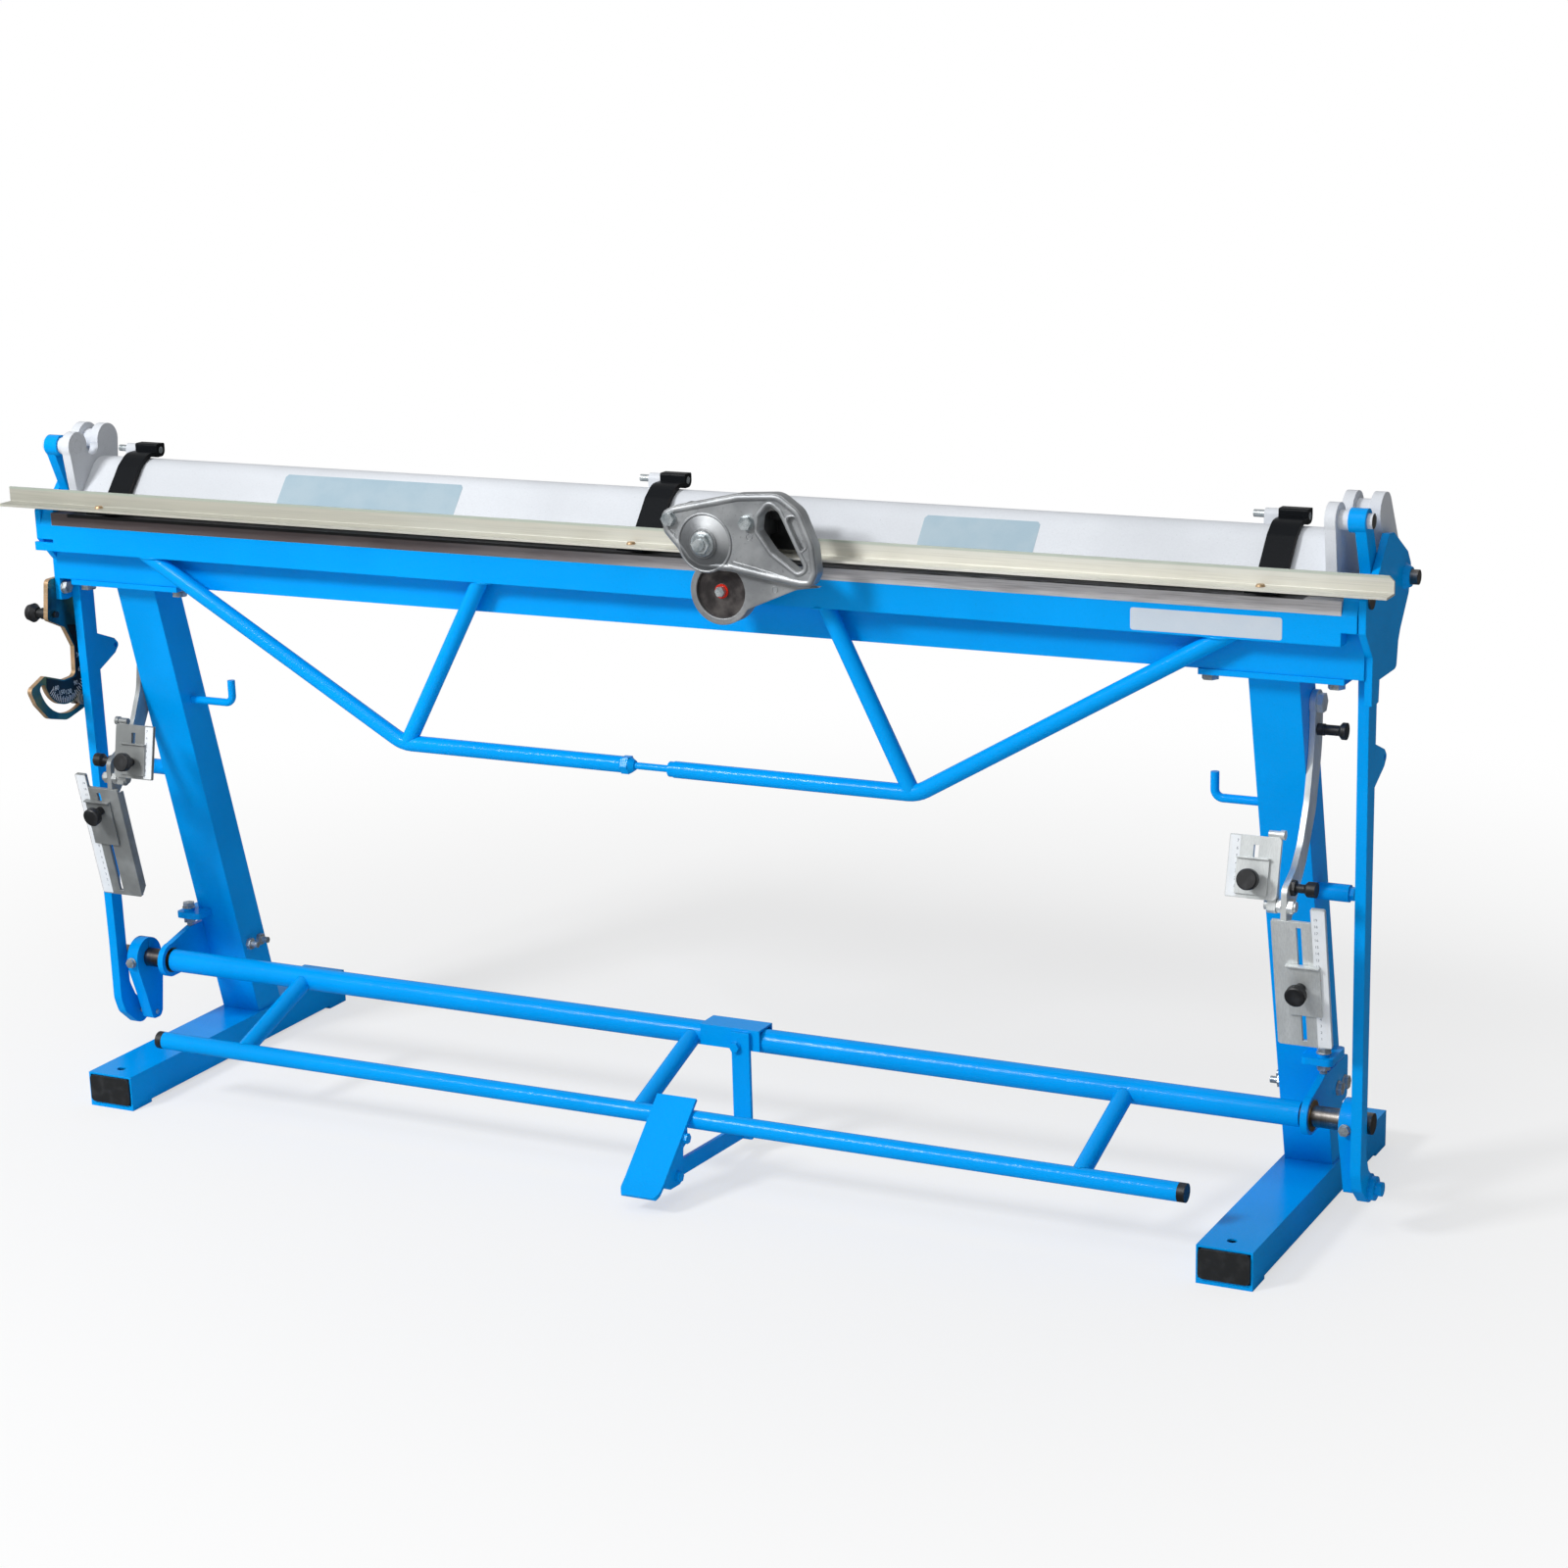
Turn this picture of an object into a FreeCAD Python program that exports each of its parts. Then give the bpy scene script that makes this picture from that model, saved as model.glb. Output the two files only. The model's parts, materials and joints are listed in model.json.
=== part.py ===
import FreeCAD, Part
import math
import os

from FreeCAD import Vector

# A foot-clamped sheet metal folding machine with a roller shear on a swing-away rail.
# +X runs to the right along the bending edge, -Y is the operator's side, +Z is up.
# The origin lies on the floor under the middle of the machine. Sizes are in millimetres.

# Overall stations along the bending edge
work_half = 1020.0
link_gap = 6.0
link_t = 15.0
side_gap = 1.0
side_t = 10.0

# Feet
foot_inset = 106.0
foot_w = 80.0
foot_h = 50.0
foot_half_l = 300.0
tube_wall = 3.0
pad_t = 5.0
pad_l = 48.0
cap_t = 3.0
cap_plug_l = 16.0
floor_bolt_r = 7.0
floor_bolt_y = 266.0

# Legs, leaning towards the operator
leg_w = 70.0
leg_depth = 62.0
leg_wall = 4.0
leg_foot_y = 55.5
leg_h = 741.0
leg_lean = 187.3
top_plate_w = 198.5
top_plate_out = 3.25
top_plate_t = 8.0
beam_bolt_pitch = 172.0
beam_bolt_r = 6.0
bearing_bolt_r = 5.0
side_bolt_r = 5.0
hook_r = 6.0
hook_reach = 71.0
hook_drop = 192.0
post_r = 12.0
post_l = 44.0
post_drop = 315.0
hook_h = 36.0

# Lower beam and lower jaw
beam_h = 86.0
beam_front_y = -147.0
beam_depth = 122.0
beam_wall = 6.0
front_plate_t = 6.0
front_plate_h = 93.0
jaw_bar_h = 22.0
jaw_bar_lip = 16.0
jaw_bar_depth = 103.0
jaw_lip_h = 15.0

# Leaf hinge axis, at the bending edge
hinge_y = -165.0
hinge_pin_r = 8.0
hinge_ear_r = 13.0
hinge_head_r = 12.0
hinge_head_t = 3.0
run_clear = 0.05
gap = 0.3

# Folding leaf
leaf_t = 20.0
leaf_back = 5.0
leaf_h = 40.0
strip_h = 19.0
ear_notch_h = 18.0
truss_r = 12.0
truss_drop = 310.5
truss_nodes = (-414.0, 420.0)
truss_insets = (-170.0, 160.0)
truss_bend_r = 55.0
strut_tops = (-255.0, 278.0)
strut_r = 12.0
truss_gap = 42.0
buckle_r = 5.0

# Jaw pivot, link pin and upper beam, measured from the bending edge
pivot_dy = 153.0
pivot_dz = 2.0
pivot_pin_r = 10.0
pivot_boss_r = 17.0
pivot_boss_h = 8.0
pivot_pin_out = 18.0
pin_dy = 20.0
pin_dz = 97.0
link_pin_r = 10.0
link_pin_out = 7.0
spacer_r = 13.0
nose_angle = 50.0
sheet_clear = 0.4
blade_t = 8.0
blade_depth = 52.0
nose_plate_t = 6.0
nose_in = 0.7
tube_lift = 4.0
beam_tube_r = 35.0
beam_tube_wall = 6.0
end_plate_t = 15.0
end_plate_in = 31.0
rear_lobe_dy = 94.0
rear_lobe_r = 25.0
front_lobe_r = 22.0

# Links and torsion shaft
link_w = 33.0
link_boss_r = 16.0
link_boss_in = 8.0
link_foot_r = 20.0
link_foot_boss = 8.0
link_pin_end = 9.0
torsion_y = -70.0
torsion_z = 172.0
torsion_r = 18.0
shaft_r = 15.0
shaft_plug_l = 60.0
shaft_out = 4.0
crank_pin_dy = 8.0
crank_pin_dz = 96.0
crank_t = 20.0
crank_gaps = {"right": 1.0, "left": 11.0}
crank_hub_r = 32.0
crank_split = 1.5
crank_hole_r = 4.0
open_clear = 0.5
bearing_t = 10.0
bearing_hub_r = 27.0
bush_r = 20.0
adjust_x_in = 5.0

# Foot bar and pedal
bar_inset = 45.0
bar_r = 13.45
bar_reach = 183.5
bar_drop = 64.0
bar_arm_in = 145.0
bar_arm_mid = 5.0
bar_arm_r = 13.3
bar_cap_t = 11.0
saddle_l = 98.0
saddle_x = 72.5
saddle_t = 3.0
pedal_w = 63.7
pedal_x = 98.3
pedal_t = 5.0
pedal_slope = 41.7
pedal_up = 24.0
pedal_fold = -116.0
pedal_toe = -143.0
pedal_lip = 2.5
hanger_w = 29.0
hanger_t = 6.0
strut_low = 24.0

# Shear rail and its swing arms
rail_over = 70.0
rail_t = 3.0
rail_h = 25.0
rail_depth = 34.0
rail_dy = 23.0
rail_dz = 13.0
arm_insets = (-106.0, 2.0, 102.0)
arm_w = 40.0
arm_t = 6.0
arm_over = 3.0
arm_axis_dy = 22.0
arm_axis_dz = 45.0
arm_block_l = 40.0
arm_block_s = 20.0
arm_block_round = 9.5
arm_boss_r = 8.0
arm_boss_l = 20.0
arm_pin_r = 5.0
arm_pin_out = 16.0

# Shear carriage, from the lower cutter's axis and the sheet plane
carriage_x = 168.0
casting_gap = 21.0
casting_t = 18.0
upper_cutter_r = 38.8
upper_cutter_dx = -18.0
lower_cutter_dx = -4.0
upper_cutter_dz = 37.0
lower_cutter_r = 36.7
lower_cutter_dz = -32.0
cutter_t = 6.0
cutter_shaft_r = 8.0
cutter_housing_r = 46.0
guide_clear = 0.4

# Angle stop on the left side plate
angle_plate_t = 8.0
angle_centre_y = -145.0
angle_centre_dz = -256.0
angle_slot_r = 60.0
angle_slot_w = 14.0
stop_pin_r = 6.7

# Swing gauges beside the legs; a spot is the lean, the Y and the drop below the legs' tops
gauge_pivot_y = -72.0
gauge_pivot_drop = 45.0
gauge_curve_drop = 31.0
gauge_index_drop = 80.0
gauge_pivot_r = 8.0
gauge_arm_t = 8.0
gauge_arm_w = 35.0
gauge_plate_t = 5.0
gauge_flange = 15.0
gauge_slot_w = 7.0
gauge_big_w = 75.0
gauge_big_h = 188.0
gauge_ear_w = 20.0
gauge_ear_h = 22.0
gauge_big_outs = {"right": 24.5, "left": 29.0}
gauge_big_spots = {"right": (12.5, -153.6, 495.2), "left": (12.5, -144.6, 497.2)}
gauge_small_w = 71.0
gauge_small_h = 83.0
gauge_small_outs = {"right": -40.5, "left": -43.0}
gauge_small_spots = {"right": (-14.3, -196.9, 285.0), "left": (-11.4, -187.0, 291.0)}
gauge_knob_r = 14.3
gauge_knob_t = 12.0
gauge_neck_r = 7.0
gauge_stud_r = 4.0
gauge_index_r = 5.0
gauge_rod_r = 7.0
slider_t = 3.0
big_slider = (46.0, 76.0, 16.0)
big_slider_ups = {"right": 49.0, "left": 91.0}
big_stud_ups = {"right": 43.0, "left": 60.0}
small_slider = (45.0, 49.0, 15.0)
small_slider_up = 5.5
small_stud_up = 20.5
gauge_bows = {"right": 0.0, "left": 12.0}

# Places worked out from the sizes above
foot_x = work_half - foot_inset
rail_half = work_half + rail_over
foot_top = pad_t + foot_h
leg_top = foot_top + leg_h
beam_z = leg_top + top_plate_t
jaw_z = beam_z + beam_h
sheet_z = jaw_z + jaw_bar_h
link_x = work_half + link_gap
side_x = link_x + link_t + side_gap
side_out = side_x + side_t
leg_in = foot_x - leg_w / 2
leg_out = foot_x + leg_w / 2
bearing_out = leg_out + bearing_t
lean_slope = leg_lean / leg_h
lean_angle = math.degrees(math.atan(lean_slope))
pivot_y = hinge_y + pivot_dy
pivot_z = sheet_z + pivot_dz
pin_y = hinge_y + pin_dy
pin_z = sheet_z + pin_dz
crank_pin_y = torsion_y + crank_pin_dy
crank_pin_z = torsion_z - crank_pin_dz
bar_half = leg_in - bar_inset
bar_arm_x = bar_half - bar_arm_in
bar_y = torsion_y - bar_reach
bar_z = torsion_z - bar_drop
rear_lobe_y = hinge_y + rear_lobe_dy
rail_back = hinge_y - rail_dy
rail_front = rail_back - rail_depth
rail_z = sheet_z + rail_dz
casting_back = rail_front - casting_gap
casting_front = casting_back - casting_t
nose_tan = math.tan(math.radians(nose_angle))
nose_sin = math.sin(math.radians(nose_angle))
nose_cos = math.cos(math.radians(nose_angle))
tube_z = sheet_z + tube_lift + beam_tube_r
tube_back = (beam_tube_r + (tube_z - sheet_z) * nose_cos) / nose_sin
tube_y = hinge_y - nose_in + tube_back
arm_xs = (-work_half - arm_insets[0], arm_insets[1], work_half - arm_insets[2])
truss_tops = (-work_half - truss_insets[0], work_half - truss_insets[1])
arm_axis_y = tube_y + arm_axis_dy
arm_axis_z = tube_z + arm_axis_dz
end_in = work_half - end_plate_in
gauge_pivot_z = leg_top - gauge_pivot_drop
gauge_curve_z = leg_top - gauge_curve_drop
gauge_index_z = leg_top - gauge_index_drop
angle_centre_z = sheet_z + angle_centre_dz


def leg_front(z):
    """Y of the legs' front face at height z."""
    return leg_foot_y - lean_slope * (z - foot_top)


def place(axis, u, v, w):
    """Point with u and v in the plane across an axis and w along it."""
    if axis == "x":
        return Vector(w, u, v)
    if axis == "y":
        return Vector(u, w, v)
    return Vector(u, v, w)


def direction(axis, length):
    """Vector of a length along an axis."""
    return place(axis, 0, 0, length)


def prism(axis, corners, low, high):
    """Plate across an axis with (u, v) or (u, v, rounding) corners."""
    points = [Vector(c[0], c[1], 0) for c in corners]
    rounds = [c[2] if len(c) > 2 else 0.0 for c in corners]
    count = len(points)
    starts = []
    ends = []
    middles = []
    for i in range(count):
        here = points[i]
        to_last = (points[i - 1] - here)
        to_next = (points[(i + 1) % count] - here)
        if rounds[i] <= 0:
            starts.append(here)
            ends.append(here)
            middles.append(None)
            continue
        half = to_last.getAngle(to_next) / 2
        back = rounds[i] / math.tan(half)
        limit = 0.49 * min(to_last.Length, to_next.Length)
        back = min(back, limit)
        radius = back * math.tan(half)
        a = here + Vector(to_last).normalize() * back
        b = here + Vector(to_next).normalize() * back
        inward = (Vector(to_last).normalize() + Vector(to_next).normalize()).normalize()
        centre = here + inward * (radius / math.sin(half))
        starts.append(a)
        ends.append(b)
        middles.append(centre - inward * radius)
    edges = []
    for i in range(count):
        spot = [place(axis, p.x, p.y, low) for p in (starts[i], ends[i])]
        if middles[i] is not None:
            middle = place(axis, middles[i].x, middles[i].y, low)
            edges.append(Part.Arc(spot[0], middle, spot[1]).toShape())
        after = starts[(i + 1) % count]
        after = place(axis, after.x, after.y, low)
        if spot[1].distanceToPoint(after) > 0.001:
            edges.append(Part.LineSegment(spot[1], after).toShape())
    face = Part.Face(Part.Wire(edges))
    return face.extrude(direction(axis, high - low))


def rod(axis, u, v, radius, low, high):
    """Round bar along an axis."""
    return Part.makeCylinder(radius, high - low, place(axis, u, v, low), direction(axis, 1))


def cone(axis, u, v, low_r, high_r, low, high):
    """Tapered round along an axis."""
    base = place(axis, u, v, low)
    return Part.makeCone(low_r, high_r, high - low, base, direction(axis, 1))


def box(x0, x1, y0, y1, z0, z1):
    """Block between two corners."""
    return Part.makeBox(x1 - x0, y1 - y0, z1 - z0, Vector(x0, y0, z0))


def hexagon(axis, u, v, across, low, high):
    """Hexagonal prism along an axis."""
    reach = across / math.sqrt(3)
    turns = [math.radians(60 * i) for i in range(6)]
    corners = [(u + reach * math.cos(t), v + reach * math.sin(t)) for t in turns]
    return prism(axis, corners, low, high)


def bolt(axis, u, v, radius, head, seat, tip):
    """Hex bolt: head from its top to its seat, washer, then shank to the tip."""
    way = 1 if tip > seat else -1
    washer = 1.5
    top = seat - way * (head + washer)
    low, high = sorted((top, seat - way * washer))
    body = hexagon(axis, u, v, 3.4 * radius, low, high)
    low, high = sorted((seat - way * washer, seat))
    body = body.fuse(rod(axis, u, v, 2.1 * radius, low, high))
    low, high = sorted((seat, tip))
    body = body.fuse(rod(axis, u, v, radius, low, high))
    return body.removeSplitter()


def joined(first, *others):
    """One solid made of overlapping shapes."""
    shape = first.fuse(list(others))
    return shape.removeSplitter()


def mirrored(shape):
    """The same shape on the other side of the machine."""
    return shape.mirror(Vector(0, 0, 0), Vector(1, 0, 0))


def pair(shape):
    """A right-hand piece with its left-hand twin."""
    return [shape, mirrored(shape)]


def leaned(shape, spot):
    """A gauge piece built upright on the origin, leant and set on its spot."""
    lean, y, drop = spot
    copy = shape.copy()
    copy.rotate(Vector(0, 0, 0), Vector(1, 0, 0), lean)
    copy.translate(Vector(0, y, leg_top - drop))
    return copy


def bent_tube(points, radius, bend_r):
    """Tube along straight runs with tangent bends."""
    edges = []
    start = points[0]
    for i in range(1, len(points) - 1):
        to_last = Vector(points[i - 1] - points[i]).normalize()
        to_next = Vector(points[i + 1] - points[i]).normalize()
        half = to_last.getAngle(to_next) / 2
        back = bend_r / math.tan(half)
        a = points[i] + to_last * back
        b = points[i] + to_next * back
        inward = Vector(to_last + to_next).normalize()
        middle = points[i] + inward * (bend_r / math.sin(half) - bend_r)
        edges.append(Part.LineSegment(start, a).toShape())
        edges.append(Part.Arc(a, middle, b).toShape())
        start = b
    edges.append(Part.LineSegment(start, points[-1]).toShape())
    path = Part.Wire(edges)
    way = points[1] - points[0]
    ring = Part.Wire(Part.makeCircle(radius, points[0], way))
    return path.makePipeShell([ring], True, False)


def save(name, shapes):
    """Write one node, after a look that each of its solids is sound."""
    solids = []
    for shape in shapes:
        solids.extend(shape.Solids)
    for solid in solids:
        if not solid.isValid() or solid.Volume < 1:
            raise ValueError("unsound solid in " + name)
    shape = solids[0] if len(solids) == 1 else Part.makeCompound(solids)
    shape.exportStep("parts/" + name + ".step")


def feet():
    """Rectangular tube feet with floor bolt holes, end caps and floor pads."""
    length = foot_half_l - cap_t
    x0 = foot_x - foot_w / 2
    x1 = foot_x + foot_w / 2
    outer = box(x0, x1, -length, length, pad_t, foot_top)
    inner = box(x0 + tube_wall, x1 - tube_wall, -length, length,
                pad_t + tube_wall, foot_top - tube_wall)
    tube = outer.cut(inner)
    caps = []
    pads = []
    for way in (-1, 1):
        hole = rod("z", foot_x, way * floor_bolt_y, floor_bolt_r, -1, foot_top + 1)
        tube = tube.cut(hole)
        y0, y1 = sorted((way * (length - cap_plug_l), way * foot_half_l))
        inset = tube_wall + gap
        caps.extend(pair(prism("y", [(x0 + inset, pad_t + inset, 7),
                                     (x1 - inset, pad_t + inset, 7),
                                     (x1 - inset, foot_top - inset, 7),
                                     (x0 + inset, foot_top - inset, 7)], y0, y1)))
        y0, y1 = sorted((way * (length - pad_l), way * length))
        pads.extend(pair(box(x0, x1, y0, y1, 0, pad_t).cut(hole)))
    save("right_foot", [tube])
    save("left_foot", [mirrored(tube)])
    save("foot_caps_and_pads", caps + pads)


def legs():
    """Leaning box-section legs under a plate that carries the lower beam."""
    skin = leg_wall / math.cos(math.radians(lean_angle))
    outline = [(leg_front(foot_top), foot_top), (leg_front(foot_top) + leg_depth, foot_top),
               (leg_front(leg_top) + leg_depth, leg_top), (leg_front(leg_top), leg_top)]
    hollow = [(leg_front(foot_top) + skin, foot_top),
              (leg_front(foot_top) + leg_depth - skin, foot_top),
              (leg_front(leg_top) + leg_depth - skin, leg_top),
              (leg_front(leg_top) + skin, leg_top)]
    leg = prism("x", outline, leg_in, leg_out)
    leg = leg.cut(prism("x", hollow, leg_in + leg_wall, leg_out - leg_wall))
    for y, z in bearing_bolt_places():
        leg = leg.cut(rod("x", y, z, bearing_bolt_r + gap, leg_in - 1, leg_out + 1))
    leg = leg.cut(rod("x", gauge_pivot_y, gauge_pivot_z, gauge_pivot_r + gap,
                      leg_out - leg_wall - 1, leg_out + 1))
    back = beam_front_y + beam_depth
    middle = foot_x + top_plate_out
    plate = box(middle - top_plate_w / 2, middle + top_plate_w / 2,
                beam_front_y - 8, back, leg_top, beam_z)
    for x, y in beam_bolt_places():
        plate = plate.cut(rod("z", x, y, beam_bolt_r + gap, leg_top - 1, beam_z + 1))
    save("right_leg", [leg, plate])
    save("left_leg", [mirrored(leg), mirrored(plate)])


def bearing_bolt_places():
    """(y, z) of the bolts that hold the bearing plates to the legs."""
    z = torsion_z + 3
    middle = leg_front(z) + leg_depth / 2
    return [(middle - 14, z), (middle + 14, z)]


def beam_bolt_places():
    """(x, y) of the right leg's bolts into the lower beam."""
    back = beam_front_y + beam_depth
    rows = (beam_front_y + 13, back - 20)
    return [(foot_x + way * beam_bolt_pitch / 2, y) for way in (-1, 1) for y in rows]


def side_bolt_place():
    """(y, z) of the bolt through the angle plate and the left side plate."""
    return beam_front_y + 7, beam_z - 16


def stand_bolts():
    """Hex bolts of the beam, bearing plates, side plates and angle plate."""
    pieces = []
    for x, y in beam_bolt_places():
        pieces.extend(pair(bolt("z", x, y, beam_bolt_r, 8, leg_top, beam_z + beam_wall + 8)))
    for y, z in bearing_bolt_places():
        screw = bolt("x", y, z, bearing_bolt_r, 6, bearing_out, leg_in - 18)
        nut = hexagon("x", y, z, 17, leg_in - 6.5, leg_in)
        pieces.extend(pair(joined(screw, nut)))
    y, z = side_bolt_place()
    pieces.append(bolt("x", y, z, side_bolt_r, 7, -side_x, -side_out - angle_plate_t - 4))
    x = leg_out + adjust_x_in
    y = torsion_y + 60
    tip = bearing_top() + gap
    screw = bolt("z", x, y, 5.0, 7, adjust_z() + adjust_t() + 5, tip)
    nut = hexagon("z", x, y, 17, adjust_z() - 9, adjust_z() - gap)
    pieces.extend(pair(joined(screw, nut)))
    save("stand_bolts", pieces)


def bearing_top():
    """Height of the bearing plates' upper edge."""
    return torsion_z + 41


def adjust_z():
    """Underside of the tab that holds the adjusting screw."""
    return torsion_z + 56


def adjust_t():
    """Thickness of the tab that holds the adjusting screw."""
    return 10.0


def bearings():
    """Bearing plates on the legs' outer faces, their bushes and adjusting tabs."""
    back = leg_front(torsion_z) + leg_depth - 2
    top = bearing_top()
    outline = [(torsion_y, torsion_z + bearing_hub_r), (torsion_y + 55, top, 8),
               (back, top, 8), (back, torsion_z - 24, 8), (torsion_y, torsion_z - bearing_hub_r)]
    plate = prism("x", outline, leg_out, bearing_out)
    plate = joined(plate, rod("x", torsion_y, torsion_z, bearing_hub_r, leg_out, bearing_out))
    plate = plate.cut(rod("x", torsion_y, torsion_z, bush_r, leg_out - 1, bearing_out + 1))
    for y, z in bearing_bolt_places():
        plate = plate.cut(rod("x", y, z, bearing_bolt_r + gap, leg_out - 1, bearing_out + 1))
    low = adjust_z()
    x = leg_out + adjust_x_in
    y = torsion_y + 60
    tab = prism("z", [(leg_out - 24, y + 50), (leg_out - 24, y - 15, 8),
                      (leg_out + 21, y - 15, 8), (leg_out + 21, y + 50, 8)], low, low + adjust_t())
    solid_leg = prism("x", [(leg_front(foot_top), foot_top),
                            (leg_front(foot_top) + leg_depth, foot_top),
                            (leg_front(leg_top) + leg_depth, leg_top),
                            (leg_front(leg_top), leg_top)], leg_in, leg_out)
    tab = max(tab.cut(solid_leg).Solids, key=lambda s: s.Volume)
    tab = tab.cut(rod("z", x, y, 5.0 + gap, low - 1, low + adjust_t() + 1))
    collar = rod("z", x, y, 9, low + adjust_t(), low + adjust_t() + 5)
    collar = collar.cut(rod("z", x, y, 5.0 + gap, low, low + adjust_t() + 6))
    save("bearing_plates", pair(plate) + pair(tab) + pair(collar))
    bush = rod("x", torsion_y, torsion_z, bush_r, leg_out, bearing_out)
    bush = joined(bush, rod("x", torsion_y, torsion_z, bush_r + 2, bearing_out, bearing_out + 2))
    bush = bush.cut(rod("x", torsion_y, torsion_z, shaft_r + run_clear, leg_out - 1,
                        bearing_out + 3))
    save("bearing_bushes", pair(bush))


def lower_beam():
    """Box beam, front plate and lower jaw bar of the bed."""
    back = beam_front_y + beam_depth
    beam = box(-work_half, work_half, beam_front_y, back, beam_z, jaw_z)
    beam = joined(beam, box(-side_x, side_x, back - beam_wall, back, beam_z, jaw_z - 6))
    beam = beam.cut(box(-work_half - 1, work_half + 1, beam_front_y + beam_wall,
                        back - beam_wall, beam_z + beam_wall, jaw_z - beam_wall))
    for x, y in beam_bolt_places():
        hole = rod("z", x, y, beam_bolt_r + gap, beam_z - 1, beam_z + beam_wall + 1)
        beam = beam.cut(hole).cut(mirrored(hole))
    save("lower_beam", [beam])
    front = box(-side_x, side_x, beam_front_y - front_plate_t, beam_front_y,
                beam_z, beam_z + front_plate_h)
    save("lower_front_plate", [front])
    lip_z = sheet_z - jaw_lip_h
    lip_y = beam_front_y - jaw_bar_lip
    outline = [(lip_y, lip_z), (beam_front_y, lip_z), (beam_front_y, jaw_z),
               (lip_y + jaw_bar_depth, jaw_z), (lip_y + jaw_bar_depth, sheet_z), (lip_y, sheet_z)]
    save("lower_jaw_bar", [prism("x", outline, -work_half, work_half)])


def side_outline():
    """Outline of a side plate round the jaw pivot and the leaf hinge."""
    y = hinge_y
    z = sheet_z
    low = beam_z
    return [(y + 75, z + 72, 6), (y + 32, z + 27, 10), (y - 18, z + 3, 3), (y - 18, z - 41, 3),
            (y + 9, z - 72), (y + 15, z - 78), (y + 15, low - 34), (y + 29, low - 36),
            (y + 45, low - 34), (y + 47, low - 5), (y + 114, low - 5, 6), (y + 121, low - 2, 6),
            (y + 126, low + 30, 6), (y + 134, low + 45), (y + 168, z - 22, 10),
            (y + 176, z + 14, 10), (y + 160, z + 34), (y + 96, z + 70, 6)]


def side_plates():
    """Side plates that carry the jaw pivots and the leaf hinges."""
    plate = prism("x", side_outline(), side_x, side_out)
    boss_out = side_out + pivot_boss_h
    boss = cone("x", pivot_y, pivot_z, pivot_boss_r, pivot_boss_r - 4, side_out, boss_out)
    plate = joined(plate, boss)
    plate = plate.cut(rod("x", pivot_y, pivot_z, pivot_pin_r, side_x - 1, boss_out + 1))
    plate = plate.cut(rod("x", hinge_y, sheet_z, hinge_pin_r, side_x - 1, side_out + 1))
    y, z = side_bolt_place()
    save("right_side_plate", [plate])
    hole = rod("x", y, z, side_bolt_r + gap, side_x - 1, side_out + 1)
    save("left_side_plate", [mirrored(plate.cut(hole))])
    jaw_pin = rod("x", pivot_y, pivot_z, pivot_pin_r, link_x, side_out + pivot_pin_out)
    leaf_pin = rod("x", hinge_y, sheet_z, hinge_pin_r, work_half + 3, side_out)
    head = rod("x", hinge_y, sheet_z, hinge_head_r, side_out, side_out + hinge_head_t)
    save("pivot_pins", pair(jaw_pin) + pair(joined(leaf_pin, head)))


def leaf():
    """Folding leaf with its hinge ears, working strip and truss."""
    y0 = hinge_y - leaf_t
    y1 = hinge_y + leaf_back
    strip_z = sheet_z - strip_h
    low = strip_z - leaf_h
    ear_out = side_x - side_gap
    beam = box(-work_half, work_half, y0, y1, low, strip_z)
    ears = []
    for way in (-1, 1):
        x0, x1 = sorted((way * work_half, way * ear_out))
        tab = box(x0, x1, y0, y1, low + ear_notch_h, strip_z)
        x0, x1 = sorted((way * (work_half + gap), way * ear_out))
        lug = prism("x", [(y0, strip_z - 8), (y1, strip_z - 8), (y1 + 4, sheet_z),
                          (hinge_y - hinge_ear_r, sheet_z), (y0, strip_z)], x0, x1)
        eye = rod("x", hinge_y, sheet_z, hinge_ear_r, x0, x1)
        ears.extend([tab, lug, eye])
    x0 = -side_out - 3
    ears.append(box(x0, -work_half, y0, y0 + 5, low, low + 13))
    beam = joined(beam, *ears)
    for way in (-1, 1):
        x0, x1 = sorted((way * (work_half + 1), way * (ear_out + 1)))
        beam = beam.cut(rod("x", hinge_y, sheet_z, hinge_pin_r + run_clear, x0, x1))
    save("folding_leaf", [beam])
    strip = box(-work_half, work_half, y0, hinge_y, strip_z, sheet_z)
    save("leaf_steel_strip", [strip])
    truss_y = hinge_y - 7
    node_z = sheet_z - truss_drop
    roof = box(-work_half, work_half, y0 - 60, y1 + 60, low, sheet_z)
    half_gap = truss_gap
    rise = low + 20 - node_z
    tubes = []
    struts = []
    for node_x, top_x, strut_x in zip(truss_nodes, truss_tops, strut_tops):
        way = math.copysign(1, node_x)
        slope = (top_x - node_x) / (low - node_z)
        high = Vector(node_x + slope * rise, truss_y, low + 20)
        node = Vector(node_x, truss_y, node_z)
        near = Vector(way * half_gap, truss_y, node_z)
        tube = bent_tube([high, node, near], truss_r, truss_bend_r).cut(roof)
        tubes.append(tube)
        top = Vector(strut_x, truss_y, low + 20)
        run = Vector(node_x - way * 8, truss_y, node_z) - top
        strut = Part.makeCylinder(strut_r, run.Length, top, run).cut(roof).cut(tube)
        struts.append(max(strut.Solids, key=lambda s: s.Volume))
    save("truss_tubes", tubes + struts)
    screw = rod("x", truss_y, node_z, buckle_r, -half_gap, half_gap)
    nut = hexagon("x", truss_y, node_z, 24, -half_gap, -half_gap + 12)
    neck = cone("x", truss_y, node_z, 12, 7, -half_gap + 12, -half_gap + 20)
    collar = rod("x", truss_y, node_z, 11, half_gap - 8, half_gap)
    save("turnbuckle", [joined(screw, nut, neck, collar)])


def nose_y(z):
    """Y of the upper beam's sloping front face at height z."""
    return hinge_y - nose_in + (z - sheet_z) / nose_tan


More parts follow.
